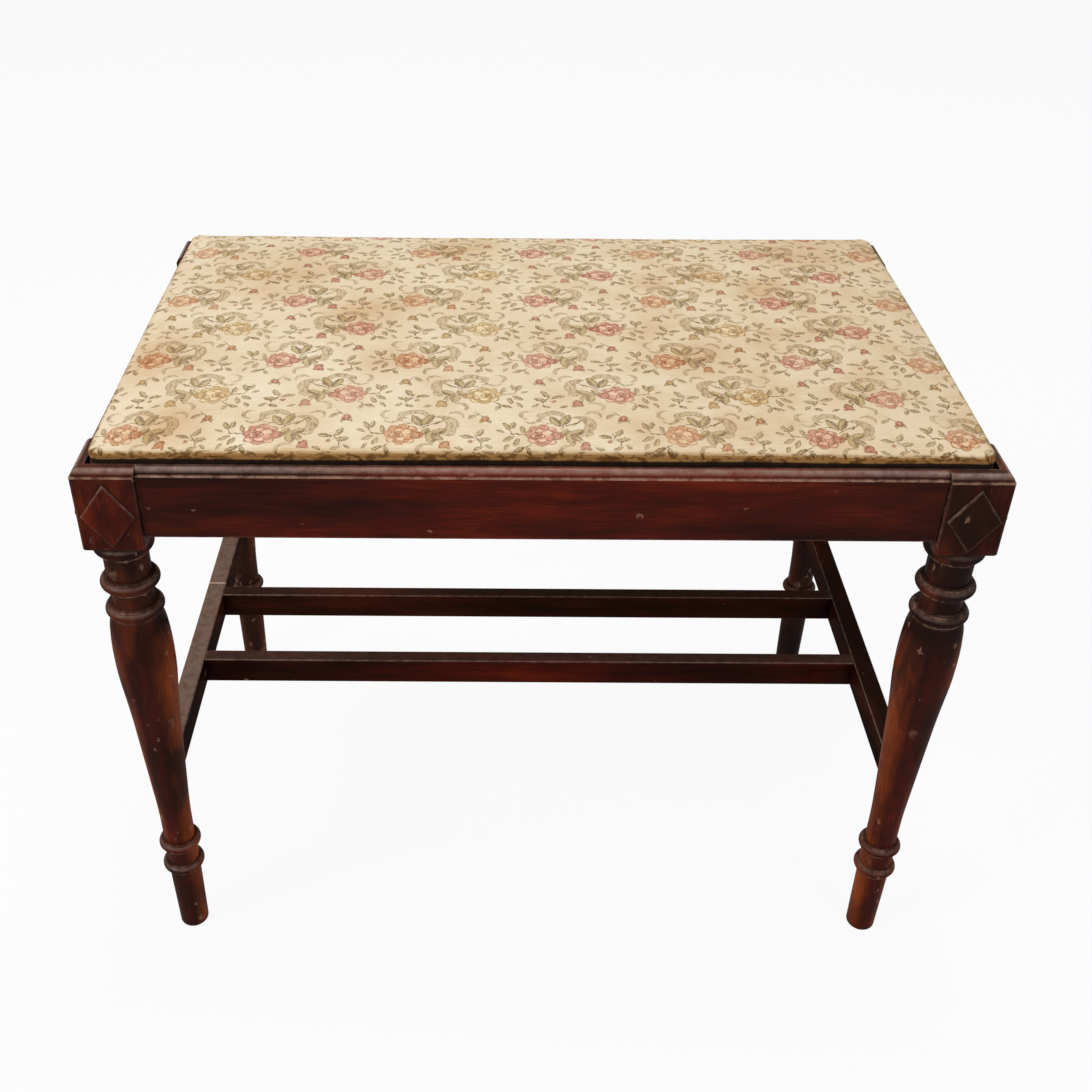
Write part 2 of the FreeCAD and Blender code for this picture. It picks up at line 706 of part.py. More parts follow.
opening = doc.addObject("Part::Box", "opening")
bind(opening, "Length", f"2 * ({SEAT_X} - cover_turn)")
bind(opening, "Width", f"2 * ({SEAT_Y} - cover_turn)")
bind(opening, "Height", "cover_thickness + 2 * overcut")
place(opening, f"- ({SEAT_X} - cover_turn)", f"- ({SEAT_Y} - cover_turn)", f"{LEDGE} - overcut")


def tack_spots():
    """Even rows of tacks along the four sides of the seat, clear of the corners."""
    spots = []
    for along, across, swap in ((SEAT_X, SEAT_Y, False), (SEAT_Y, SEAT_X, True)):
        run = size(f"2 * ({along} - post_width - tack_inset)")
        count = max(int(run / size("tack_pitch")), 2)
        for index in range(count + 1):
            reach = run * (index / count - 0.5)
            row = size(f"{across} - tack_inset")
            for sign in (-1, 1):
                spots.append((sign * row, reach) if swap else (reach, sign * row))
    return spots


tacks = []
tack_holes = []
ledge = size(LEDGE)
for x, y in tack_spots():
    crown = Part.makeCone(
        size("tack_head_radius * 0.45"), size("tack_head_radius"), size("tack_head_height"),
        Vector(x, y, ledge - size("tack_head_height")),
    )
    stem = Part.makeCone(
        size("tack_radius"), size("tack_radius * 0.3"), size("tack_length"), Vector(x, y, ledge - size("glue_gap")),
    )
    tacks.append(crown.fuse(stem).removeSplitter())
    tack_holes.append(Part.makeCone(
        size("tack_radius + glue_gap"), size("tack_radius * 0.3 + glue_gap"), size("tack_length + 3 * glue_gap"),
        Vector(x, y, ledge - size("glue_gap")),
    ))
seat_tacks = doc.addObject("Part::Feature", "seat_tacks")
seat_tacks.Label = "seat_tacks"
seat_tacks.Shape = Part.makeCompound(tacks)
tack_bores = doc.addObject("Part::Feature", "tack_bores")
tack_bores.Shape = Part.makeCompound(tack_holes)


def cut(label, base, *tools):
    tool = tools[0]
    if len(tools) > 1:
        tool = doc.addObject("Part::MultiFuse", f"{label}_tools")
        tool.Shapes = list(tools)
    made = doc.addObject("Part::Cut", label)
    made.Label = label
    made.Base = base
    made.Tool = tool
    return made


seat_board = cut("seat_board", plank, tack_bores)
filler = doc.addObject("Part::Box", "filler")
bind(filler, "Length", f"2 * ({SEAT_X} + overcut)")
bind(filler, "Width", f"2 * ({SEAT_Y} + overcut)")
bind(filler, "Height", "board_thickness + overcut")
place(filler, f"- {SEAT_X} - overcut", f"- {SEAT_Y} - overcut", f"{BOARD_FOOT} - overcut")
seat_padding = cut("seat_padding", inner_form, filler)
bored_cover = cut("bored_cover", outer_form, tack_bores)
seat_cover = cut("seat_cover", bored_cover, inner_form, opening)

doc.recompute()

PIECES = [f"leg_{corner}" for corner in CORNERS]
PIECES += [f"lozenge_{corner}_{side}" for corner in CORNERS for side in ("long", "end")]
PIECES += [f"apron_{side}" for side in APRONS]
PIECES += [f"stretcher_{side}" for side in ("left", "right", "front", "rear")]
PIECES += [f"corner_block_{corner}" for corner in CORNERS]
PIECES += ["apron_dowels", "corner_block_screws"]
PIECES += ["seat_board", "seat_padding", "seat_cover", "seat_tacks"]

for thing in doc.Objects:
    if "Invalid" in thing.State or "Error" in thing.State:
        raise RuntimeError(f"{thing.Label}: {thing.State}")

os.makedirs("parts", exist_ok=True)
for label in PIECES:
    shape = doc.getObject(label).Shape
    if shape.isNull() or not shape.isValid() or not shape.Solids:
        raise RuntimeError(f"{label} has no valid solid")
    shape.exportStep(f"parts/{label}.step")
    box = shape.BoundBox
    print(f"{label}: {len(shape.Solids)} solids, {shape.Volume / 1000:.2f} cm3, "
          f"{box.XMin:.2f} {box.XMax:.2f} {box.YMin:.2f} {box.YMax:.2f} {box.ZMin:.2f} {box.ZMax:.2f}")
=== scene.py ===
import math
import bpy
from mathutils import Matrix, Vector, noise


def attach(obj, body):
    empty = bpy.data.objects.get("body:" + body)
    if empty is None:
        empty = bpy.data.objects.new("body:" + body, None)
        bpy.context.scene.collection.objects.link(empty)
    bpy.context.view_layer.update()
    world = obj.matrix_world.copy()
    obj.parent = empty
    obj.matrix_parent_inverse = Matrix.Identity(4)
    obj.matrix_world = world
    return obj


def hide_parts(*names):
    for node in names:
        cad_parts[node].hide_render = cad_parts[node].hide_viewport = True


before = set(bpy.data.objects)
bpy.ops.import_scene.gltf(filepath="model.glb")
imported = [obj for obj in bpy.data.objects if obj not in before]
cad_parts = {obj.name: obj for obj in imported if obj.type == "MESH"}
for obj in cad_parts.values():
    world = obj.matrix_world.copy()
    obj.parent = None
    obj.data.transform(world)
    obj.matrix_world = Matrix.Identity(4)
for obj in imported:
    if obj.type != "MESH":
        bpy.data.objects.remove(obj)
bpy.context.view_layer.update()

print("frame loaded:", len(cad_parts), "nodes")


def linear(code):
    # sRGB hex to linear colour
    parts = [int(code[i:i + 2], 16) / 255 for i in (1, 3, 5)]
    return tuple(c / 12.92 if c <= 0.04045 else ((c + 0.055) / 1.055) ** 2.4 for c in parts) + (1.0,)


def nodeAdder(tree):
    # gives the function that adds one node to this tree, with its settings and with its inputs as values,
    # sockets or nodes (a node gives its first output); shader kinds go by their short names
    def add(kind, wires=None, **settings):
        node = tree.nodes.new(kind if "Node" in kind else "ShaderNode" + kind)
        for key, value in settings.items():
            setattr(node, key, value)
        for socket, source in (wires or {}).items():
            if isinstance(source, bpy.types.Node):
                source = source.outputs[0]
            if isinstance(source, bpy.types.NodeSocket):
                tree.links.new(source, node.inputs[socket])
            else:
                node.inputs[socket].default_value = source
        return node

    return add


def newMaterial(name):
    material = bpy.data.materials.new(name)
    material.use_nodes = True
    material.node_tree.nodes.clear()
    return material, nodeAdder(material.node_tree)


def paint(ramp, stops):
    # colour ramp stops as (place, hex)
    while len(ramp.color_ramp.elements) < len(stops):
        ramp.color_ramp.elements.new(0.5)
    for element, (place, code) in zip(ramp.color_ramp.elements, stops):
        element.position = place
        element.color = linear(code)
    return ramp


# Mahogany, turned or moulded, under a dark red-brown stain and an old satin varnish.
# The eye sees fine streaks along the grain, red where the stain is thin and, as a painted highlight, on the
# legs' sides, near black in the hollows from dirt and painted shade, pale rubbed edges that are brighter
# where they face up as a painted highlight, clusters of small pale dents, a film of dust on what faces up
# that is partly a painted lit top, and a painted sheen on up-sloping beads and mouldings.
mahogany = {
    "fineGrain": 0.9,       # mm across one streak
    "broadGrain": 8.0,
    "grainDraw": 38.0,      # how much longer than wide a streak is
    "patch": 46.0,          # mm, clouds in the stain, drawn out along the grain
    "rubbedEdge": 2.0,      # mm, how far the wear reaches from an edge
    "dirtAndShadeReach": 10.0,
    "fleckSpacing": 8.0,
    "scuffSpacing": 26.0,
    "quirk": 0.47415,       # m, height of the small step under the moulding
    "quirkSheen": 1.0,       # painted sheen on the blocks above it
    "quirkLine": (0.0008, 0.0004),  # m, how far off the step the rubbed line ends, and is full
    "blockFoot": 0.413,     # m
    "throat": (0.288, 0.338),       # m, the wood darkens between these heights
    "throatDarkest": 0.8,        # share of the dark tone at the top of the throat
    "litFlankTop": (0.338, 0.302),     # m, the painted highlight on the flanks comes in here
    "sway": 0.007,          # m, how far the grain wanders
    "ragged": 11.0,         # mm, how far a dent's outline wanders
    "splitSway": 0.03,      # m, how far the split wanders, and how wide it is
    "splitLine": (0.0014, 0.0006),
    "tones": [(0.1, "#1d0b08"), (0.36, "#33110a"), (0.6, "#49160b"), (0.88, "#6b210f")],
    # painted shade: a darker copy of the stain, for the back legs, the rear and side stretchers in shade
    # under and behind the seat, and the front right lozenge
    "deepTones": [(0.1, "#140906"), (0.4, "#231009"), (0.65, "#32150c"), (0.9, "#46190d")],
    # red where the stain is rubbed thin, also a painted highlight on the legs' sides
    "thinStainAndFlankLight": "#9c4a1e",
    "rubbed": "#b98f79",
    "dent": "#9c7560",
    # dust, and the painted lit top of upward faces
    "dustAndSheenTone": "#927769",
    # painted sheen: the highlight colour on up-sloping beads and mouldings
    "paintedSheen": "#a5897c",
    # near black of dirt in the hollows, which is also painted shade
    "dirtAndShadeTone": "#100806",
    "throatDark": "#180e0b",
    "split": "#d9bba6",
}


def stainedMahogany(name, grainAxis, tones="tones", streaky=0.2, draw=350.0, thin=0.3, litFlanks=0.0,
                    deepBlock=0.0, glow=None, dustAndSheen=0.3, rub=0.6, dents=0.3, gate=0.6, paintedSheen=0.9,
                    dirtAndShade=0.85, coat=0.1, crack=None):
    v = mahogany
    material, add = newMaterial(name)
    place = add("TexCoord").outputs["Object"]
    stretch = [1000.0, 1000.0, 1000.0]
    stretch[grainAxis] = 1000.0 / v["grainDraw"]
    drawn = [1000.0, 1000.0, 1000.0]
    drawn[grainAxis] = draw
    millimetres = add("VectorMath", {0: place, "Scale": 1000.0}, operation="SCALE")
    sway = add("TexNoise", {"Vector": millimetres, "Scale": 1 / 75, "Detail": 1.0})
    bent = add("VectorMath", {
        0: sway.outputs["Color"], 1: [v["sway"]] * 3, 2: place,
    }, operation="MULTIPLY_ADD")
    along = add("VectorMath", {0: bent, 1: stretch}, operation="MULTIPLY")
    wide = add("VectorMath", {0: place, 1: drawn}, operation="MULTIPLY")
    fine = add("TexNoise", {
        "Vector": along, "Scale": 1 / v["fineGrain"], "Detail": 3.0, "Roughness": 0.55,
    })
    broad = add("TexNoise", {"Vector": along, "Scale": 1 / v["broadGrain"], "Detail": 2.0})
    cloud = add("TexNoise", {"Vector": wide, "Scale": 1 / v["patch"], "Detail": 4.0, "Roughness": 0.6})
    streak = 0.0
    for layer, share in ((fine, streaky), (broad, 0.15), (cloud, 0.85 - streaky)):
        streak = add("Math", {0: layer, 1: share, 2: streak}, operation="MULTIPLY_ADD")
    spread = add("MapRange", {"Value": streak, 1: 0.33, 2: 0.67, 3: 0.0, 4: 1.0})
    facing = add("NewGeometry")
    turned = add("SeparateXYZ", {0: facing.outputs["Normal"]})
    spot = add("SeparateXYZ", {0: place})
    tall = spot.outputs["Z"]
    if glow:
        # redder towards the middle of its length, darker at the ends
        middle = add("Math", {0: spot.outputs[grainAxis], 1: glow[0]}, operation="SUBTRACT")
        middle = add("Math", {0: middle}, operation="ABSOLUTE")
        middle = add("MapRange", {
            "Value": middle, 1: 0.03, 2: glow[1], 3: glow[2], 4: glow[3],
        }, interpolation_type="SMOOTHSTEP")
        spread = add("Math", {0: spread, 1: middle}, operation="ADD", use_clamp=True)
    layers = []             # mask and colour of what lies over the stain
    # stain rubbed thin in clouds; the same red on the sides of the legs below the throat is a painted
    # highlight
    thinStainAndLitFlank = add("MapRange", {"Value": cloud, 1: 0.52, 2: 0.72, 3: 0.0, 4: thin})
    if litFlanks:
        flank = add("Math", {0: turned.outputs["X"]}, operation="ABSOLUTE")
        flank = add("MapRange", {"Value": flank, 1: 0.35, 2: 0.98, 3: 0.0, 4: litFlanks})
        start, end = v["litFlankTop"]
        below = add("MapRange", {"Value": tall, 1: start, 2: end, 3: 0.0, 4: 1.0})
        uneven = add("MapRange", {"Value": cloud, 1: 0.38, 2: 0.6, 3: 0.1, 4: 1.15})
        for share in (below, uneven):
            flank = add("Math", {0: flank, 1: share}, operation="MULTIPLY")
        thinStainAndLitFlank = add("Math", {0: thinStainAndLitFlank, 1: flank}, operation="MAXIMUM")
        start, end = v["throat"]
        throat = add("MapRange", {"Value": tall, 1: start, 2: end, 3: 0.0, 4: v["throatDarkest"]})
        start, end = v["blockFoot"] - 0.0001, v["blockFoot"] + 0.0001
        block = add("MapRange", {"Value": tall, 1: start, 2: end, 3: 1.0, 4: deepBlock / v["throatDarkest"]})
        throat = add("Math", {0: throat, 1: block}, operation="MULTIPLY")
        layers.append((throat, "throatDark"))
    thinStainAndLitFlank = add("Math", {0: thinStainAndLitFlank, 1: fine}, operation="MULTIPLY")
    layers.append((thinStainAndLitFlank, "thinStainAndFlankLight"))
    # old polish and dirt in the quirks, laid on through ambient occlusion, so also painted shade in every
    # hollow and joint
    hollow = add("AmbientOcclusion", {"Distance": v["dirtAndShadeReach"] / 1000}, samples=6)
    deep = add("MapRange", {"Value": hollow.outputs["AO"], 1: 0.3, 2: dirtAndShade, 3: 0.9, 4: 0.0})
    layers.append((deep, "dirtAndShadeTone"))
    chafe = add("TexNoise", {"Vector": millimetres, "Scale": 1 / 8, "Detail": 4.0, "Roughness": 0.7})
    # painted sheen: a pale highlight painted on beads and mouldings where they slope up
    sheenMask = add("MapRange", {"Value": turned.outputs["Z"], 1: 0.3, 2: 0.75, 3: 0.0, 4: paintedSheen})
    level = add("MapRange", {"Value": turned.outputs["Z"], 1: 0.9, 2: 0.985, 3: 1.0, 4: 0.0})
    thinly = add("MapRange", {"Value": chafe, 1: 0.3, 2: 0.7, 3: 0.25, 4: 0.9})
    shares = [level, thinly]
    if litFlanks:
        start, end = v["quirk"], v["quirk"] + 0.001
        above = add("MapRange", {"Value": tall, 1: start, 2: end, 3: 1.0, 4: v["quirkSheen"] / paintedSheen})
        shares.append(above)
    for share in shares:
        sheenMask = add("Math", {0: sheenMask, 1: share}, operation="MULTIPLY")
    layers.append((sheenMask, "paintedSheen"))
    # rubbed edges, brighter where they face up as a painted highlight
    eased = add("Bevel", {"Radius": v["rubbedEdge"] / 1000}, samples=6)
    turn = add("VectorMath", {0: eased, 1: facing.outputs["Normal"]}, operation="DOT_PRODUCT")
    edge = add("MapRange", {"Value": turn.outputs["Value"], 1: 0.995, 2: 0.93, 3: 0.0, 4: 1.0})
    worn = add("MapRange", {"Value": chafe, 1: 0.4, 2: 0.62, 3: 0.08, 4: rub})
    clear = add("MapRange", {"Value": hollow.outputs["AO"], 1: gate, 2: gate + 0.25, 3: 0.0, 4: 1.0})
    # painted highlight: fuller where the edges face up to the light, less where they face down
    litEdgeShare = add("MapRange", {"Value": turned.outputs["Z"], 1: -0.35, 2: 0.0, 3: 0.3, 4: 1.0})
    for share in (worn, clear, litEdgeShare):
        edge = add("Math", {0: edge, 1: share}, operation="MULTIPLY")
    # the step under the moulding is rubbed all along, on the outside
    step = add("Math", {0: tall, 1: v["quirk"]}, operation="SUBTRACT")
    step = add("Math", {0: step}, operation="ABSOLUTE")
    start, end = v["quirkLine"]
    step = add("MapRange", {"Value": step, 1: start, 2: end, 3: 0.0, 4: 1.0})
    outside = add("VectorMath", {0: place, 1: facing.outputs["Normal"]}, operation="DOT_PRODUCT")
    outside = add("MapRange", {"Value": outside.outputs["Value"], 1: 0.0, 2: 0.05, 3: 0.0, 4: 1.0})
    patchy = add("MapRange", {"Value": chafe, 1: 0.36, 2: 0.56, 3: 0.15, 4: 0.75})
    for share in (outside, patchy):
        step = add("Math", {0: step, 1: share}, operation="MULTIPLY")
    edge = add("Math", {0: edge, 1: step}, operation="MAXIMUM")
    layers.append((edge, "rubbed"))
    # dents: small flecks in clusters, and a few wider scuffs
    longish = [1.0, 1.0, 1.0]
    longish[grainAxis] = 0.55
    ragged = add("VectorMath", {
        0: chafe.outputs["Color"], 1: [v["ragged"]] * 3, 2: millimetres,
    }, operation="MULTIPLY_ADD")
    ragged = add("VectorMath", {0: ragged, 1: longish}, operation="MULTIPLY")
    cluster = add("TexNoise", {"Vector": millimetres, "Scale": 1 / 34, "Detail": 1.0})
    cluster = add("MapRange", {"Value": cluster, 1: 0.38, 2: 0.56, 3: 0.0, 4: dents})
    dent = None
    for spacing, size, most in ((v["fleckSpacing"], 0.24, 0.5), (v["scuffSpacing"], 0.17, 0.28)):
        cells = add("TexVoronoi", {"Vector": ragged, "Scale": 1 / spacing}, feature="F1")
        chosen = add("SeparateColor", {0: cells.outputs["Color"]})
        near = add("Math", {0: chosen.outputs["Green"], 1: size}, operation="MULTIPLY")
        near = add("Math", {0: near, 1: cells.outputs["Distance"]}, operation="SUBTRACT")
        near = add("MapRange", {"Value": near, 1: -0.03, 2: 0.05, 3: 0.0, 4: most})
        chosen = add("Math", {0: chosen.outputs["Red"], 1: cluster}, operation="LESS_THAN")
        near = add("Math", {0: near, 1: chosen}, operation="MULTIPLY")
        dent = add("Math", {0: near, 1: dent}, operation="MAXIMUM") if dent else near
    layers.append((dent, "dent"))
    # dust on upward faces, and partly a painted lit top where the light falls on them
    dustAndSheenFilm = add("MapRange", {"Value": turned.outputs["Z"], 1: 0.75, 2: 0.98, 3: 0.0, 4: dustAndSheen})
    dustAndSheenFilm = add("Math", {0: dustAndSheenFilm, 1: chafe}, operation="MULTIPLY", use_clamp=True)
    layers.append((dustAndSheenFilm, "dustAndSheenTone"))
    if crack:
        # a pale line across the top where the bar has split
        far = v["splitSway"]
        off = add("Math", {0: sway, 1: far, 2: spot.outputs["Y"]}, operation="MULTIPLY_ADD")
        off = add("Math", {0: off, 1: crack + far / 2}, operation="SUBTRACT")
        off = add("Math", {0: off}, operation="ABSOLUTE")
        start, end = v["splitLine"]
        slit = add("MapRange", {"Value": off, 1: start, 2: end, 3: 0.0, 4: 0.9})
        slit = add("Math", {0: slit, 1: turned.outputs["Z"]}, operation="MULTIPLY", use_clamp=True)
        layers.append((slit, "split"))
    colour = paint(add("ValToRGB", {"Fac": spread}), v[tones])
    for mask, key in layers:
        colour = add("Mix", {0: mask, 6: colour, 7: linear(v[key])}, data_type="RGBA").outputs[2]
    dull = add("Math", {0: chafe, 1: 0.24, 2: 0.2}, operation="MULTIPLY_ADD")
    dull = add("Math", {0: edge, 1: 0.2, 2: dull}, operation="MULTIPLY_ADD")
    dull = add("Math", {0: dustAndSheenFilm, 1: 0.5, 2: dull}, operation="MULTIPLY_ADD")
    height = add("Math", {0: dent, 1: -1.2, 2: fine}, operation="MULTIPLY_ADD")
    relief = add("Bump", {"Height": height, "Strength": 0.3, "Distance": 0.0003, "Normal": eased})
    shader = add("BsdfPrincipled", {
        "Base Color": colour, "Roughness": dull, "Normal": relief, "IOR": 1.5, "Specular IOR Level": 0.0,
        "Coat Weight": coat, "Coat Roughness": 0.2,
    })
    add("OutputMaterial", {"Surface": shader})
    return material


# name, grain axis, the nodes or kinds of node that it is on, and how it is finished
stained = (
    ("mahogany_turned", 2, ("leg",), dict(
        thin=0.5, litFlanks=1.5, deepBlock=0.25, dustAndSheen=0.2, rub=0.55, dents=0.9, paintedSheen=0.42, dirtAndShade=0.97)),
    ("mahogany_turned_dark", 2, ("leg_front_right",), dict(
        thin=0.5, litFlanks=1.4, deepBlock=0.5, dustAndSheen=0.2, rub=0.8, dents=0.9, paintedSheen=0.3)),
    # painted shade: darker tones on the back legs
    ("mahogany_turned_back", 2, ("leg_rear_left", "leg_rear_right"), dict(
        tones="deepTones", thin=0.6, litFlanks=0.5, dustAndSheen=0.2, rub=0.45, dents=0.7, paintedSheen=0.3)),
    ("mahogany_carved", 2, ("lozenge",), dict(
        thin=0.4, dustAndSheen=0.2, rub=0.45, dents=0.8, gate=0.15)),
    # painted shade: darker tones on the front right lozenge
    ("mahogany_carved_dark", 2, ("lozenge_front_right_long", "lozenge_front_right_end"), dict(
        tones="deepTones", thin=0.2, dustAndSheen=0.2, rub=0.4, dents=0.4, gate=0.15)),
    ("mahogany_long_rails", 0, ("apron_front", "apron_rear"), dict(
        draw=170.0, glow=(-0.01, 0.27, 0.36, -0.16), thin=0.2, rub=1.0, dents=0.07)),
    ("mahogany_end_rails", 1, ("apron_left", "apron_right"), dict(
        draw=170.0, glow=(0.0, 0.16, 0.2, -0.15), thin=0.2, rub=1.0, dents=0.07)),
    ("mahogany_front_stretcher", 0, ("stretcher_front",), dict(
        streaky=0.16, draw=170.0, glow=(-0.05, 0.26, 0.05, -0.3), thin=0.1, dustAndSheen=0.4, rub=0.45, dents=0.05,
        coat=0.04)),
    # painted shade: darker tones on the rear stretcher
    ("mahogany_rear_stretcher", 0, ("stretcher_rear",), dict(
        tones="deepTones", draw=170.0, thin=0.1, dustAndSheen=0.2, rub=0.3, dents=0.04, coat=0.03)),
    # painted shade: darker tones, and almost no dust so the top stays dark
    ("mahogany_side_stretcher", 1, ("stretcher_right",), dict(
        tones="deepTones", thin=0.1, dustAndSheen=0.06, rub=0.35, coat=0.02)),
    # dust here also stands for a painted lit top; the darker tones are painted shade
    ("mahogany_cracked_stretcher", 1, ("stretcher_left",), dict(
        tones="deepTones", thin=0.4, dustAndSheen=1.75, rub=0.8, dents=0.4, coat=0.02, crack=0.064)),
)
finishOf = {}
for name, grainAxis, nodes, settings in stained:
    finish = stainedMahogany(name, grainAxis, **settings)
    finishOf.update({node: finish for node in nodes})

# Beech, sawn and left bare: dry tan with short flecks and saw lines, browned by age.
beech = {
    "fleck": 1.0,           # mm
    "draw": 12.0,           # how much longer than wide a fleck is
    "sawPitch": 2.6,        # mm
    "tones": [(0.3, "#7d5a38"), (0.55, "#a37c50"), (0.8, "#bd9667")],
}


def sawnBeech(name):
    v = beech
    material, add = newMaterial(name)
    place = add("TexCoord").outputs["Object"]
    along = add("VectorMath", {0: place, 1: (1000 / v["draw"], 1000.0, 1000.0)}, operation="MULTIPLY")
    fleck = add("TexNoise", {"Vector": along, "Scale": 1 / v["fleck"], "Detail": 4.0, "Roughness": 0.65})
    colour = paint(add("ValToRGB", {"Fac": fleck}), v["tones"])
    saw = add("TexWave", {
        "Vector": place, "Scale": 1000 / v["sawPitch"] / 20, "Distortion": 2.0, "Detail": 1.0,
    }, bands_direction="DIAGONAL")
    height = add("Math", {0: saw.outputs["Fac"], 1: 0.6, 2: fleck}, operation="MULTIPLY_ADD")
    relief = add("Bump", {"Height": height, "Strength": 0.5, "Distance": 0.0004})
    dull = add("MapRange", {"Value": fleck, 3: 0.62, 4: 0.85})
    shader = add("BsdfPrincipled", {
        "Base Color": colour, "Roughness": dull, "Normal": relief, "IOR": 1.5,
    })
    add("OutputMaterial", {"Surface": shader})
    return material


# Birch plywood: rotary-cut face with wide pale figure, and thin plies that alternate at the edge.
birchPly = {
    "figure": 26.0,         # mm
    "draw": 9.0,
    "ply": 1.9,             # mm
    "fibre": 1.1,           # per mm
    "tones": [(0.3, "#8f6a43"), (0.5, "#b58d5d"), (0.72, "#cba878")],
    "darkPly": "#6e4c2c",
}


def birchPlywood(name):
    v = birchPly
    material, add = newMaterial(name)
    place = add("TexCoord").outputs["Object"]
    along = add("VectorMath", {0: place, 1: (1000 / v["draw"], 1000.0, 1000.0)}, operation="MULTIPLY")
    figure = add("TexNoise", {
        "Vector": along, "Scale": 1 / v["figure"], "Detail": 5.0, "Roughness": 0.6, "Distortion": 0.6,
    })
    fibre = add("TexNoise", {"Vector": along, "Scale": v["fibre"], "Detail": 2.0})
    mixed = add("Math", {0: fibre, 1: 0.35, 2: -0.17}, operation="MULTIPLY_ADD")
    mixed = add("Math", {0: mixed, 1: figure}, operation="ADD")
    colour = paint(add("ValToRGB", {"Fac": mixed}), v["tones"])
    level = add("SeparateXYZ", {0: place})
    ply = add("Math", {0: level.outputs["Z"], 1: 1000 / (2 * v["ply"])}, operation="MULTIPLY")
    ply = add("Math", {0: ply}, operation="FRACT")
    ply = add("Math", {0: ply, 1: 0.5}, operation="GREATER_THAN")
    facing = add("SeparateXYZ", {0: add("NewGeometry").outputs["Normal"]})
    upright = add("Math", {0: facing.outputs["Z"]}, operation="ABSOLUTE")
    upright = add("Math", {0: upright, 1: 0.5}, operation="LESS_THAN")
    band = add("Math", {0: ply, 1: upright}, operation="MULTIPLY")
    band = add("Math", {0: band, 1: 0.6}, operation="MULTIPLY")
    colour = add("Mix", {0: band, 6: colour, 7: linear(v["darkPly"])}, data_type="RGBA").outputs[2]
    relief = add("Bump", {"Height": mixed, "Strength": 0.35, "Distance": 0.0003})
    dull = add("MapRange", {"Value": fibre, 3: 0.55, 4: 0.8})
    shader = add("BsdfPrincipled", {
        "Base Color": colour, "Roughness": dull, "Normal": relief, "IOR": 1.5,
    })
    add("OutputMaterial", {"Surface": shader})
    return material


# Steel, cold headed: dull grey with brown bloom on the screws, blue-black on the tacks.
steel = {
    "pits": 900.0,          # per m
    # clean, tarnished, and how much of that
    "steel_screw": ("#8d867b", "#5e3b24", 0.7),
    "steel_blued_tack": ("#3a3f4a", "#4a2f20", 0.45),
}


def oldSteel(name):
    clean, tarnish, bloom = steel[name]
    material, add = newMaterial(name)
    place = add("TexCoord").outputs["Object"]
    spots = add("TexNoise", {"Vector": place, "Scale": steel["pits"], "Detail": 4.0, "Roughness": 0.7})
    cover = add("MapRange", {"Value": spots, 1: 0.45, 2: 0.65, 3: 0.0, 4: bloom})
    colour = add("Mix", {0: cover, 6: linear(clean), 7: linear(tarnish)}, data_type="RGBA").outputs[2]
    dull = add("MapRange", {"Value": cover, 3: 0.34, 4: 0.75})
    metal = add("MapRange", {"Value": cover, 3: 1.0, 4: 0.35})
    relief = add("Bump", {"Height": spots, "Strength": 0.3, "Distance": 0.0002})
    shader = add("BsdfPrincipled", {
        "Base Color": colour, "Roughness": dull, "Metallic": metal, "Normal": relief,
    })
    add("OutputMaterial", {"Surface": shader})
    return material


blockWood = sawnBeech("beech_sawn")
plyWood = birchPlywood("birch_plywood")
screwSteel = oldSteel("steel_screw")
tackSteel = oldSteel("steel_blued_tack")
finishOf.update({
    "corner": blockWood, "apron_dowels": blockWood, "seat_board": plyWood,
    "corner_block_screws": screwSteel, "seat_tacks": tackSteel,
})
for name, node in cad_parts.items():
    finish = finishOf.get(name) or finishOf.get(name.split("_")[0])
    if finish:
        node.data.materials.clear()
        node.data.materials.append(finish)
print("wood and steel on the frame")

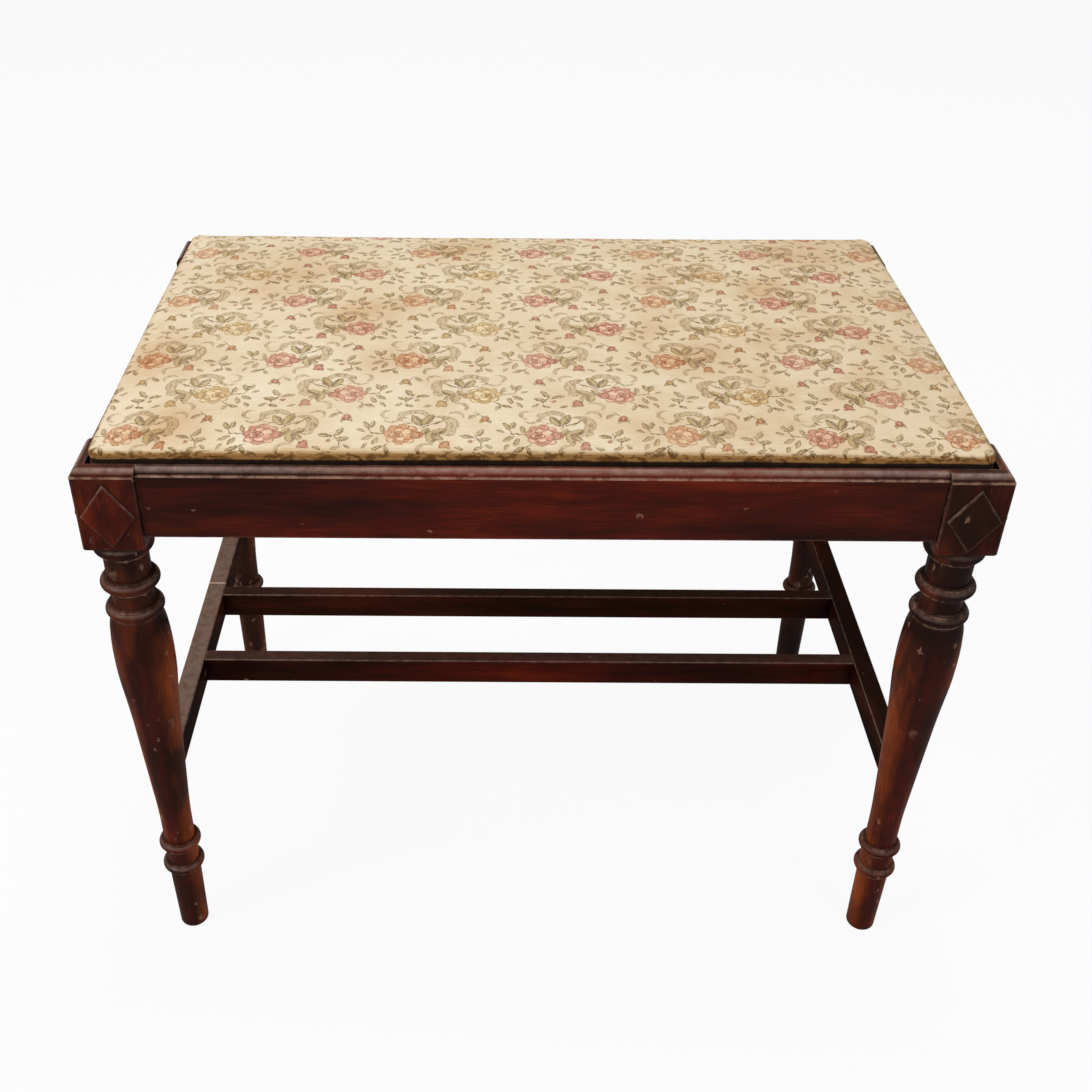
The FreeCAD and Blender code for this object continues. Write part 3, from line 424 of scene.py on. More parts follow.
# Woven cotton tapestry, cream ground with rose sprays in half-drop rows, aged to straw.
# Threads are about 0.5 mm; they are drawn coarser so that the weave shows in the render.
tapestry = {
    "thread": 0.75,         # mm, step of the woven figure
    "wander": 6.0,          # mm, how far a line of the figure drifts, slowly and in quick steps
    "shake": 2.0,
    "rib": (1.15, 1.5),     # mm, drawn weave along and across
    "repeat": 96.0,         # mm between roses in a row
    "rowPitch": 52.4,
    "shift": 55.0,          # mm, next row, mirrored
    "firstRow": -174.0,
    "reach": (-33.0, -21.0),  # mm, where one spray starts, left of its rose and below it
    "ground": [(0.25, "#ead5b3"), (0.5, "#f3e3c6"), (0.75, "#f8ebd2")],
    "leafDark": "#5f3a0e",
    "leafPale": "#cab27c",
    "stem": "#6e4416",
    "scroll": "#d6c19d",
    "scrollDark": "#8f6c40",
    # petal, shade, light
    "pink": ("#db8f76", "#8a2f1d", "#f3d0ba"),
    "peach": ("#de9f6b", "#964814", "#f4d7b2"),
    "gold": ("#dfbe7c", "#8c5f13", "#f4e3ba"),
    "aged": "#dcc09a",
    "yellowed": (0.08, 0.3),  # share of it at the left and at the right
    "edgeFigure": "#5c380c",  # the figure where the cloth turns over the edge
    # soil on the cloth's sides, which is also painted shade
    "soilAndShade": "#cdb99c",
    # painted shadow where the cloth meets the rim of the frame
    "rimShadowTone": "#120603",
    "sunned": (-160.0, 280.0),    # mm, from left to right
    # mm down from the top edge, where each mark comes in
    "rubbedBand": (-9.0, 1.0),
    "soilAndShadeBand": (-1.2, 1.8),
    "fringeBand": (-1.6, 0.6),
    "rimShadowBand": (5.6, 6.6),
    "rimShadowFade": (9.6, 12.5),
    # breadth of a leaf as a share of its length
    "darkShare": 0.42,
    "paleShare": 0.48,
    "stemShare": 0.055,
    "petalShare": 0.36,
    # x, y, length and angle, in mm and degrees from the rose
    "darkLeaves": [
        (-24.5, 10.5, 10.0, 118), (-20.5, 11.5, 9.0, 78), (-24.0, -4.0, 10.0, 215), (-18.5, -8.0, 9.5, 250),
        (-13.5, 6.5, 9.0, 102), (-16.5, -16.0, 9.5, 208), (-10.0, -17.5, 8.0, 292), (9.4, 17.0, 15.0, 116),
        (17.0, 18.0, 16.0, 66), (43.0, -2.0, 10.0, 168), (52.5, 2.5, 10.5, 62), (55.5, -6.0, 9.5, 22),
        (47.2, 23.0, 9.0, 225), (53.5, 17.0, 7.0, 250), (58.5, 18.0, 7.0, 295), (51.5, -15.5, 7.5, 205),
        (58.8, -14.0, 7.0, 318), (-25.5, -13.5, 7.5, 238), (-29.0, 4.5, 6.5, 152), (38.5, -15.5, 7.0, 330),
    ],
    "paleLeaves": [
        (20.0, -3.0, 15.5, 96), (24.0, 3.0, 13.5, 30), (15.5, 3.0, 11.0, 60), (25.0, -3.0, 9.0, 130),
    ],
    "stems": [
        (-16.0, 1.0, 14.0, 174), (-22.5, 5.0, 10.0, 118), (-12.5, -14.0, 13.0, 218), (19.5, 12.2, 13.0, 30),
        (25.5, 15.5, 14.0, 46), (50.0, -3.5, 11.0, 112), (53.2, -11.5, 9.0, 84), (52.0, -5.0, 9.0, 30),
        (46.0, -3.5, 7.0, 160), (52.0, 25.5, 11.0, 310), (26.0, -8.0, 9.0, 305), (14.5, 8.5, 9.0, 40),
        (-1.0, 17.0, 9.0, 318), (5.0, 13.4, 7.0, 2),
    ],
    # x, y, radius, way it bulges, thickness
    "scrolls": [
        (8.5, 21.0, 9.8, 92, 5.2), (27.0, 12.5, 10.6, 8, 7.6), (-10.5, 25.0, 5.6, 172, 2.6),
        (-7.0, 19.5, 6.0, 300, 2.2), (17.0, -17.0, 6.5, 150, 2.6), (31.0, 3.0, 4.6, 300, 3.0),
        (1.0, 24.0, 4.6, 200, 2.6), (36.0, 24.0, 5.5, 60, 2.6),
    ],
    # x, y, length, breadth, angle
    "buds": [
        (29.3, -11.5, 9.0, 6.5, 75), (27.0, -14.0, 5.0, 3.4, 240), (31.5, -14.5, 5.0, 3.4, 300),
        (56.0, 20.0, 8.0, 5.6, 75), (46.0, -7.6, 3.4, 3.4, 0),
    ],
    "rose": 12.6,           # mm, radius
    "lobe": (10.8, -0.6, 4.2),
    # share of the radius, depth of the scallops, count, phase, middle
    "petalRings": [
        (1.0, 0.17, 8, 0.4, (0.0, 0.0)), (0.66, 0.17, 5, 1.3, (0.5, -0.4)), (0.3, 0.14, 3, 0.5, (-2.0, -0.6)),
    ],
    "litPetals": [
        (1.6, 0.2, 11.5, 82), (5.2, 1.4, 9.5, 106), (-3.2, 5.0, 9.0, 24), (0.5, -6.2, 9.0, 170),
        (-6.8, -1.0, 7.5, 100), (5.6, 8.2, 7.5, 148), (-7.4, -6.8, 7.0, 130), (7.0, -7.6, 7.0, 40),
        (12.4, -0.6, 4.6, 90),
    ],
    "heart": (-2.4, -0.8, 2.4),
    # x, y, radius of old damp marks
    "damp": [
        (-215.0, 95.0, 110.0), (-130.0, 15.0, 80.0), (-285.0, -60.0, 75.0), (-260.0, -165.0, 60.0),
        (95.0, 72.0, 34.0), (188.0, 66.0, 40.0), (-60.0, 150.0, 60.0), (240.0, 150.0, 60.0),
        (-110.0, -70.0, 46.0), (120.0, -60.0, 50.0),
    ],
}


def rosewoven(name):
    v = tapestry
    material, add = newMaterial(name)
    flat = add("UVMap", uv_map="cloth")
    raw = add("VectorMath", {0: flat, "Scale": 1000.0}, operation="SCALE")
    wander = add("TexNoise", {"Vector": raw, "Scale": 1 / 80, "Detail": 2.0})
    shake = add("TexNoise", {"Vector": raw, "Scale": 1 / 2.4, "Detail": 1.0})
    drift = raw
    for wobble, far in ((wander, v["wander"]), (shake, v["shake"])):
        drift = add("VectorMath", {
            0: wobble.outputs["Color"], 1: (far, far, 0.0), 2: drift,
        }, operation="MULTIPLY_ADD")
    mean = (v["wander"] + v["shake"]) / 2
    drift = add("VectorMath", {0: drift, 1: (-mean, -mean, 0.0)}, operation="ADD")
    stepped = add("VectorMath", {0: drift, 1: (v["thread"], v["thread"], 1.0)}, operation="SNAP")
    spot = add("SeparateXYZ", {0: stepped})
    left, low = v["reach"]
    row = add("Math", {0: spot.outputs["Y"], 1: v["firstRow"] + low}, operation="SUBTRACT")
    row = add("Math", {0: row, 1: v["rowPitch"]}, operation="DIVIDE")
    row = add("Math", {0: row}, operation="FLOOR")
    odd = add("Math", {0: row, 1: 2.0}, operation="FLOORED_MODULO")
    rise = add("Math", {0: row, 1: -v["rowPitch"], 2: spot.outputs["Y"]}, operation="MULTIPLY_ADD")
    rise = add("Math", {0: rise, 1: v["firstRow"]}, operation="SUBTRACT")
    side = add("Math", {0: odd, 1: -2.0, 2: 1.0}, operation="MULTIPLY_ADD")
    moved = add("Math", {0: odd, 1: v["shift"]}, operation="MULTIPLY")
    run = add("Math", {0: spot.outputs["X"], 1: side, 2: moved}, operation="MULTIPLY_ADD")
    column = add("Math", {0: run, 1: left}, operation="SUBTRACT")
    column = add("Math", {0: column, 1: v["repeat"]}, operation="DIVIDE")
    column = add("Math", {0: column}, operation="FLOOR")
    second = add("Math", {0: column, 1: 2.0}, operation="FLOORED_MODULO")
    run = add("Math", {0: column, 1: -v["repeat"], 2: run}, operation="MULTIPLY_ADD")
    local = add("CombineXYZ", {0: run, 1: rise})

    def blades(leaves, share, halved=False):
        # union of lens shapes: 0 along the middle and 1 at the outline,
        # and how far to one side of its middle a point is
        lift = (1 - share * share) / (2 * share)
        whole = (1 + share * share) / (2 * share)
        least, flank = None, 0.0
        for x, y, length, angle in leaves:
            leaf = add("Mapping", {
                "Vector": local, "Location": (x, y, 0), "Rotation": (0, 0, math.radians(angle)),
                "Scale": (length / 2, length / 2, 1),
            }, vector_type="TEXTURE")
            own = add("VectorMath", {0: leaf}, operation="ABSOLUTE")
            own = add("VectorMath", {0: own, 1: (0, -lift, 0)}, operation="DISTANCE").outputs["Value"]
            if halved:
                across = add("SeparateXYZ", {0: leaf}).outputs["Y"]
                inside = add("Math", {0: own, 1: whole}, operation="LESS_THAN")
                flank = add("Math", {0: across, 1: inside, 2: flank}, operation="MULTIPLY_ADD")
            least = add("Math", {0: own, 1: least}, operation="MINIMUM") if least else own
        return add("MapRange", {"Value": least, 1: lift, 2: whole, 3: 0.0, 4: 1.0}, clamp=False), flank

    darkLeaf, darkFlank = blades(v["darkLeaves"], v["darkShare"], halved=True)
    paleLeaf, paleFlank = blades(v["paleLeaves"], v["paleShare"], halved=True)
    stem = blades(v["stems"], v["stemShare"])[0]
    litPetal = blades(v["litPetals"], v["petalShare"])[0]
    scroll = None
    for x, y, radius, way, thick in v["scrolls"]:
        own = add("Mapping", {
            "Vector": local, "Location": (x, y, 0), "Rotation": (0, 0, math.radians(way)),
            "Scale": (radius, radius, 1),
        }, vector_type="TEXTURE")
        outer = add("VectorMath", {0: own}, operation="LENGTH").outputs["Value"]
        inner = add("VectorMath", {0: own, 1: (-thick / radius, 0, 0)}, operation="DISTANCE")
        inner = add("Math", {0: 2.0, 1: inner.outputs["Value"]}, operation="SUBTRACT")
        own = add("Math", {0: outer, 1: inner}, operation="MAXIMUM")
        scroll = add("Math", {0: own, 1: scroll}, operation="MINIMUM") if scroll else own
    bud = None
    for x, y, length, breadth, angle in v["buds"]:
        own = add("Mapping", {
            "Vector": local, "Location": (x, y, 0), "Rotation": (0, 0, math.radians(angle)),
            "Scale": (length / 2, breadth / 2, 1),
        }, vector_type="TEXTURE")
        own = add("VectorMath", {0: own}, operation="LENGTH").outputs["Value"]
        bud = add("Math", {0: own, 1: bud}, operation="MINIMUM") if bud else own
    # rose: rings of scalloped petals, each off centre and outlined, with one loose petal at the side
    depths, lines = [], None
    for reach, scallop, count, phase, off in v["petalRings"]:
        own = add("VectorMath", {0: local, 1: (-off[0], -off[1], 0)}, operation="ADD")
        away = add("VectorMath", {0: own}, operation="LENGTH").outputs["Value"]
        axes = add("SeparateXYZ", {0: own})
        angle = add("Math", {0: axes.outputs["Y"], 1: axes.outputs["X"]}, operation="ARCTAN2")
        wave = add("Math", {0: angle, 1: count / 2, 2: phase}, operation="MULTIPLY_ADD")
        wave = add("Math", {0: wave}, operation="COSINE")
        wave = add("Math", {0: wave}, operation="ABSOLUTE")
        brim = add("Math", {
            0: wave, 1: scallop * v["rose"], 2: (reach - scallop) * v["rose"],
        }, operation="MULTIPLY_ADD")
        depth = add("Math", {0: brim, 1: away}, operation="SUBTRACT")
        depths.append(depth)
        rim = add("Math", {0: depth}, operation="ABSOLUTE")
        rim = add("MapRange", {"Value": rim, 1: 0.5, 2: 0.9, 3: 0.95 if reach == 1.0 else 0.85, 4: 0.0})
        fold = add("MapRange", {"Value": wave, 1: 0.12, 2: 0.34, 3: 0.9, 4: 0.0})
        inside = add("Math", {0: depth, 1: 0.0}, operation="GREATER_THAN")
        ring = add("Math", {0: depth, 1: 0.28 * v["rose"] * reach}, operation="LESS_THAN")
        for share in (ring, inside):
            fold = add("Math", {0: fold, 1: share}, operation="MULTIPLY")
        rim = add("Math", {0: rim, 1: fold}, operation="MAXIMUM")
        lines = add("Math", {0: rim, 1: lines}, operation="MAXIMUM") if lines else rim
    x, y, radius = v["lobe"]
    lobe = add("VectorMath", {0: local, 1: (x, y, 0.0)}, operation="DISTANCE").outputs["Value"]
    lobe = add("Math", {0: radius, 1: lobe}, operation="SUBTRACT")
    rim = add("Math", {0: lobe}, operation="ABSOLUTE")
    rim = add("MapRange", {"Value": rim, 1: 0.6, 2: 1.1, 3: 0.8, 4: 0.0})
    lines = add("Math", {0: lines, 1: rim}, operation="MAXIMUM")
    x, y, radius = v["heart"]
    heart = add("VectorMath", {0: local, 1: (x, y, 0.0)}, operation="DISTANCE").outputs["Value"]
    heart = add("MapRange", {"Value": heart, 1: radius, 2: radius - 1.0, 3: 0.0, 4: 1.0})
    lines = add("Math", {0: lines, 1: heart}, operation="MAXIMUM")
    whole = add("Math", {0: depths[0], 1: lobe}, operation="MAXIMUM")
    rose = add("MapRange", {"Value": whole, 1: -0.4, 2: 0.3, 3: 0.0, 4: 1.0})
    skirt = add("MapRange", {"Value": depths[1], 1: 0.2, 2: -0.8, 3: 0.0, 4: 0.24})

    # mask, colour and blend of what lies on the ground
    layers = []
    slub = add("VectorMath", {0: raw, 1: (0.12, 1.0, 1.0)}, operation="MULTIPLY")
    slub = add("TexNoise", {"Vector": slub, "Scale": 1 / 1.3, "Detail": 2.0})
    fade = add("TexNoise", {"Vector": raw, "Scale": 1 / 38, "Detail": 3.0, "Roughness": 0.6})
    ground = add("Math", {0: slub, 1: 0.35, 2: 0.0}, operation="MULTIPLY_ADD")
    ground = add("Math", {0: fade, 1: 0.65, 2: ground}, operation="MULTIPLY_ADD")
    hold = add("MapRange", {"Value": fade, 1: 0.3, 2: 0.6, 3: 0.7, 4: 1.0})
    speck = add("TexNoise", {"Vector": stepped, "Scale": 1 / 1.2, "Detail": 0.0})
    thready = add("MapRange", {"Value": speck, 1: 0.35, 2: 0.6, 3: 0.58, 4: 1.0})
    hold = add("Math", {0: hold, 1: thready}, operation="MULTIPLY")
    # plumes are hatched, leaves are dark on one half and along the outline
    hatch = add("VectorMath", {0: stepped, 1: (0.9, 0.25, 1.0)}, operation="MULTIPLY")
    hatch = add("TexNoise", {"Vector": hatch, "Scale": 1 / 1.6, "Detail": 0.0})
    hatch = add("MapRange", {"Value": hatch, 1: 0.5, 2: 0.62, 3: 0.0, 4: 0.7})
    figure = None
    plume = linear(v["scroll"]), linear(v["scrollDark"])
    leaf = linear(v["leafPale"]), linear(v["leafDark"])
    for shape, flank, start, heavy, (pale, dark) in (
        (scroll, None, 0.92, 0.6, plume), (paleLeaf, paleFlank, 0.72, 0.85, leaf),
        (darkLeaf, darkFlank, 0.6, 1.0, leaf),
    ):
        mask = add("MapRange", {"Value": shape, 1: 1.06, 2: 1.0, 3: 0.0, 4: 1.0})
        outline = add("MapRange", {"Value": shape, 1: start, 2: 0.95, 3: 0.0, 4: heavy})
        half = add("MapRange", {"Value": flank, 1: 0.0, 2: -0.1, 3: 0.0, 4: 0.75}) if flank else hatch
        outline = add("Math", {0: outline, 1: half}, operation="MAXIMUM")
        mask = add("Math", {0: mask, 1: hold}, operation="MULTIPLY")
        tone = add("Mix", {0: outline, 6: pale, 7: dark}, data_type="RGBA").outputs[2]
        layers.append((mask, tone, "MIX"))
        figure = add("Math", {0: mask, 1: figure}, operation="MAXIMUM") if figure else mask
    mask = add("MapRange", {"Value": stem, 1: 1.35, 2: 1.05, 3: 0.0, 4: 1.0})
    firm = add("Math", {0: hold, 1: 0.85}, operation="MAXIMUM")
    mask = add("Math", {0: mask, 1: firm}, operation="MULTIPLY")
    layers.append((mask, linear(v["stem"]), "MIX"))
    figure = add("Math", {0: figure, 1: mask}, operation="MAXIMUM")
    tint = []
    for i in range(3):
        pink, peach, gold = (linear(v[key][i]) for key in ("pink", "peach", "gold"))
        other = add("Mix", {0: odd, 6: peach, 7: gold}, data_type="RGBA").outputs[2]
        tint.append(add("Mix", {0: second, 6: pink, 7: other}, data_type="RGBA").outputs[2])
    bloom = add("Mix", {0: skirt, 6: tint[0], 7: tint[1]}, data_type="RGBA").outputs[2]
    lit = add("MapRange", {"Value": litPetal, 1: 1.05, 2: 0.8, 3: 0.0, 4: 0.9})
    bloom = add("Mix", {0: lit, 6: bloom, 7: tint[2]}, data_type="RGBA").outputs[2]
    bloom = add("Mix", {0: lines, 6: bloom, 7: tint[1]}, data_type="RGBA").outputs[2]
    mask = add("Math", {0: rose, 1: hold}, operation="MULTIPLY")
    layers.append((mask, bloom, "MIX"))
    budEdge = add("MapRange", {"Value": bud, 1: 0.4, 2: 0.85, 3: 0.2, 4: 1.0})
    budTint = add("Mix", {0: budEdge, 6: tint[0], 7: tint[1]}, data_type="RGBA").outputs[2]
    mask = add("MapRange", {"Value": bud, 1: 1.08, 2: 0.95, 3: 0.0, 4: 1.0})
    mask = add("Math", {0: mask, 1: hold}, operation="MULTIPLY")
    layers.append((mask, budTint, "MIX"))

    # age: damp marks with ragged fronts, rubbing at the top edge, soil and painted shade on the sides, and a
    # painted shadow low on them
    ragged = add("TexNoise", {"Vector": raw, "Scale": 1 / 62, "Detail": 4.0, "Roughness": 0.6})
    damp = None
    for x, y, radius in v["damp"]:
        own = add("VectorMath", {0: raw, 1: (x, y, 0)}, operation="DISTANCE").outputs["Value"]
        own = add("MapRange", {
            "Value": own, 1: 0.0, 2: radius * 1.15, 3: 0.7, 4: 0.0,
        }, interpolation_type="SMOOTHSTEP")
        damp = add("Math", {0: own, 1: damp}, operation="MAXIMUM") if damp else own
    blotch = add("MapRange", {"Value": ragged, 1: 0.34, 2: 0.64, 3: 0.35, 4: 1.0})
    damp = add("Math", {0: damp, 1: blotch}, operation="MULTIPLY")
    general = add("MapRange", {"Value": ragged, 1: 0.42, 2: 0.75, 3: 0.0, 4: 0.45})
    damp = add("Math", {0: damp, 1: general}, operation="MAXIMUM")
    axes = add("SeparateXYZ", {0: raw})
    (start, end), (least, most) = v["sunned"], v["yellowed"]
    sunned = add("MapRange", {"Value": axes.outputs["X"], 1: start, 2: end, 3: least, 4: most})
    damp = add("Math", {0: damp, 1: sunned}, operation="ADD")
    brink = add("Attribute", attribute_name="side").outputs["Fac"]  # mm down from the top edge
    start, end = v["rubbedBand"]
    rubbed = add("MapRange", {
        "Value": brink, 1: start, 2: end, 3: 0.0, 4: 0.8,
    }, interpolation_type="SMOOTHSTEP")
    rubbed = add("Math", {0: rubbed, 1: blotch}, operation="MULTIPLY")
    damp = add("Math", {0: damp, 1: rubbed}, operation="MAXIMUM")
    start, end = v["soilAndShadeBand"]
    soilAndShadeMask = add("MapRange", {"Value": brink, 1: start, 2: end, 3: 0.0, 4: 1.0})
    damp = add("Math", {0: damp, 1: soilAndShadeMask}, operation="MAXIMUM", use_clamp=True)
    layers += [(damp, linear(v["aged"]), "MULTIPLY"), (soilAndShadeMask, linear(v["soilAndShade"]), "MULTIPLY")]
    # over the edge the figure is browner, and short dark floats show
    start, end = v["fringeBand"]
    fringe = add("MapRange", {"Value": brink, 1: start, 2: end, 3: 0.0, 4: 1.0})
    floats = add("VectorMath", {0: stepped, 1: (0.55, 1.0, 1.0)}, operation="MULTIPLY")
    floats = add("TexNoise", {"Vector": floats, "Scale": 1 / 5.0, "Detail": 2.0, "Roughness": 0.7})
    floats = add("MapRange", {"Value": floats, 1: 0.51, 2: 0.56, 3: 0.0, 4: 0.75})
    floats = add("Math", {0: figure, 1: floats}, operation="MAXIMUM")
    floats = add("Math", {0: floats, 1: fringe}, operation="MULTIPLY")
    layers.append((floats, linear(v["edgeFigure"]), "MIX"))
    # painted shadow: a dark line on the cloth's side where it meets the rim of the frame, fading lower down
    start, end = v["rimShadowBand"]
    rimShadow = add("MapRange", {"Value": brink, 1: start, 2: end, 3: 0.0, 4: 0.97})
    start, end = v["rimShadowFade"]
    clean = add("MapRange", {"Value": brink, 1: start, 2: end, 3: 1.0, 4: 0.3})
    rimShadow = add("Math", {0: rimShadow, 1: clean}, operation="MULTIPLY")
    layers.append((rimShadow, linear(v["rimShadowTone"]), "MIX"))
    colour = paint(add("ValToRGB", {"Fac": ground}), v["ground"])
    for mask, tone, blend in layers:
        colour = add("Mix", {0: mask, 6: colour, 7: tone}, data_type="RGBA", blend_type=blend).outputs[2]

    # weave: ribs along and across, raised a little where the figure floats
    warp = add("Math", {0: axes.outputs["X"], 1: 2 * math.pi / v["rib"][0]}, operation="MULTIPLY")
    warp = add("Math", {0: warp}, operation="SINE")
    weft = add("Math", {0: axes.outputs["Y"], 1: 2 * math.pi / v["rib"][1]}, operation="MULTIPLY")
    weft = add("Math", {0: weft}, operation="SINE")
    weave = add("Math", {0: warp, 1: 0.4, 2: weft}, operation="MULTIPLY_ADD")
    weave = add("Math", {0: slub, 1: 1.2, 2: weave}, operation="MULTIPLY_ADD")
    weave = add("Math", {0: rose, 1: 0.8, 2: weave}, operation="MULTIPLY_ADD")
    shade = add("MapRange", {"Value": weave, 1: -1.0, 2: 2.4, 3: 0.88, 4: 1.02})
    colour = add("VectorMath", {0: colour, "Scale": shade}, operation="SCALE")
    relief = add("Bump", {"Height": weave, "Strength": 0.4, "Distance": 0.0002})
    dull = add("MapRange", {"Value": slub, 3: 0.72, 4: 0.9})
    shader = add("BsdfPrincipled", {
        "Base Color": colour, "Roughness": dull, "Normal": relief, "IOR": 1.5, "Specular IOR Level": 0.12,
        "Sheen Weight": 0.04, "Sheen Roughness": 0.5,
    })
    add("OutputMaterial", {"Surface": shader})
    return material


coverCloth = rosewoven("cotton_tapestry")
print("cloth woven:", len(coverCloth.node_tree.nodes), "nodes")

# Drop-in seat pad: the cover drawn over felt on the board, rolled at the edge and turned under (m).
seatPad = {
    "half": (0.308, 0.192),
    "corner": 0.009,
    "edgeLevel": 0.4897,
    "crown": (0.0016, 0.0034),   # rise along and across
    "backDip": 0.0024,           # the back edge is sat down in the middle
    "dipFrom": 0.35,             # share of the half depth where that begins
    "cell": 0.0052,
    "border": (0.0, 0.0015, 0.0033, 0.0056, 0.0086, 0.0125),
    # inset from the outline and level of each ring below the top
    "rings": (
        (0.0018, 0.48935), (0.0006, 0.4887), (-0.0004, 0.4878), (-0.0010, 0.4866), (-0.0011, 0.4854),
        (-0.0008, 0.4843), (-0.0002, 0.4835), (0.0002, 0.4827), (0.0003, 0.4812), (0.0003, 0.4790),
        (0.0003, 0.4762), (0.0004, 0.4742), (0.0010, 0.4734), (0.0022, 0.47305), (0.0120, 0.4730),
        (0.0230, 0.4730), (0.0338, 0.4730), (0.0341, 0.4738),
    ),
    "topInset": 0.0033,
    "wave": 0.0007,              # how far the cloth wavers out and in, and up and down, at the sides
    "sag": 0.0008,
    "pressure": 4.0,
    "most": 0.0016,              # how far a point may swell
    "cornerFade": 0.012,         # how far in from the edge the top's grid is still bent round the corners
    "lumps": ((9, 3.1, 0.0007), (28, 7.7, 0.00025)),  # how close, where in the noise and how high
    "waverNoise": (14, 5, 1.7),  # how close, and where in the noise
    "sagNoise": (11, -3, 4.2),
    "risesOver": (0.4805, 0.009),     # the sides take up the top's rise from this level, over this height
    "looseBetween": (0.4825, 0.4872),
    "tackedBelow": 0.4832,
    "frames": 20,
    "cloth": {
        "quality": 6, "mass": 0.25,
        "tension_stiffness": 25, "compression_stiffness": 25, "shear_stiffness": 10, "bending_stiffness": 3,
        "use_pressure": True, "vertex_group_mass": "tacked",
    },
}


def roundedSpot(x, y, halfX, halfY, radius, fade):
    # a point of a square-cornered ring, moved on to the rounded ring, with its outward way
    a, b = halfX - abs(x), halfY - abs(y)
    inset = min(a, b)
    bend = radius * max(0.0, 1 - inset / fade)
    cornerX, cornerY = halfX - inset - bend, halfY - inset - bend
    wayX, wayY = math.copysign(1, x), math.copysign(1, y)
    if bend < 1e-6 or abs(x) <= cornerX or abs(y) <= cornerY:
        return (x, y, wayX, 0) if a < b else (x, y, 0, wayY)
    if a <= b:
        turn = (abs(y) - cornerY) / bend * math.pi / 4
    else:
        turn = math.pi / 2 - (abs(x) - cornerX) / bend * math.pi / 4
    return (wayX * (cornerX + bend * math.cos(turn)), wayY * (cornerY + bend * math.sin(turn)),
            wayX * math.cos(turn), wayY * math.sin(turn))


def padLines(half, v):
    # places of the grid lines: close at the border, even between
    ends = [half - step for step in v["border"]]
    inner = ends[-1]
    count = max(2, round(2 * inner / v["cell"]))
    return [-e for e in ends] + [-inner + 2 * inner * i / count for i in range(1, count)] + ends[::-1]


def buildSeatPad():
    v = seatPad
    halfX, halfY = v["half"]
    topX, topY = halfX - v["topInset"], halfY - v["topInset"]
    xs, ys = padLines(topX, v), padLines(topY, v)
    spots, flat, faces, side = [], [], [], []

    def wobble(x, y, key):
        close, off, at = v[key]
        return noise.noise(Vector((x * close + off, y * close, at)))

    def level(x, y):
        rise = v["crown"][0] * (1 - (x / halfX) ** 2) + v["crown"][1] * (1 - (y / halfY) ** 2)
        behind = max(0.0, (y / halfY - v["dipFrom"]) / (1 - v["dipFrom"]))
        rise -= v["backDip"] * behind * behind * (1 - (x / halfX) ** 2)
        lump = sum(noise.noise(Vector((x * close, y * close, at))) * high for close, at, high in v["lumps"])
        return v["edgeLevel"] + rise + lump

    for y in ys:
        for x in xs:
            px, py = roundedSpot(x, y, topX, topY, v["corner"] - v["topInset"], v["cornerFade"])[:2]
            spots.append((px, py, level(px, py)))
            flat.append((px, py))
            side.append(-1000 * (v["topInset"] + min(topX - abs(x), topY - abs(y))))
    wide, deep = len(xs), len(ys)
    for j in range(deep - 1):
        for i in range(wide - 1):
            k = j * wide + i
            faces.append((k, k + 1, k + wide + 1, k + wide))
    rim = list(range(wide)) + [j * wide + wide - 1 for j in range(1, deep)]
    rim += [(deep - 1) * wide + i for i in range(wide - 2, -1, -1)]
    rim += [j * wide for j in range(deep - 2, 0, -1)]
    ways = []
    for k in rim:
        x, y = xs[k % wide], ys[k // wide]
        ways.append(roundedSpot(x, y, topX, topY, v["corner"] - v["topInset"], v["cornerFade"])[2:])
    last = rim
    edgeRise = [spots[k][2] - v["edgeLevel"] for k in rim]
    travel = 0.0
    before = (v["topInset"], v["edgeLevel"])
    held = []
    for inset, height in v["rings"]:
        travel += math.hypot(inset - before[0], height - before[1])
        before = (inset, height)
        ring = []
        share = max(0.0, min(1.0, (height - v["risesOver"][0]) / v["risesOver"][1]))
        loose = v["looseBetween"][0] < height < v["looseBetween"][1]
        for order, k in enumerate(rim):
            x, y, z = spots[k]
            nx, ny = ways[order]
            pull = wobble(x, y, "waverNoise") * v["wave"] * (1.0 if loose else 0.2)
            sag = wobble(x, y, "sagNoise") * v["sag"] if loose else 0.0
            out = v["topInset"] - inset + pull
            drop = edgeRise[order] * share
            ring.append(len(spots))
            spots.append((x + nx * out, y + ny * out, height + drop + sag))
            flat.append((flat[k][0] + nx * travel, flat[k][1] + ny * travel))
            side.append(1000 * (travel - v["topInset"]))
        for order in range(len(rim)):
            after = (order + 1) % len(rim)
            faces.append((last[order], ring[order], ring[after], last[after]))
        if height < v["tackedBelow"]:
            held += ring
        last = ring
    mesh = bpy.data.meshes.new("seat_pad")
    mesh.from_pydata(spots, [], faces)
    layer = mesh.uv_layers.new(name="cloth")
    for loop in mesh.loops:
        layer.data[loop.index].uv = flat[loop.vertex_index]
    mesh.attributes.new("side", "FLOAT", "POINT").data.foreach_set("value", side)
    mesh.update()
    pad = bpy.data.objects.new("seat_pad", mesh)
    bpy.context.scene.collection.objects.link(pad)
    group = pad.vertex_groups.new(name="tacked")
    group.add(held, 1.0, "REPLACE")
    return pad


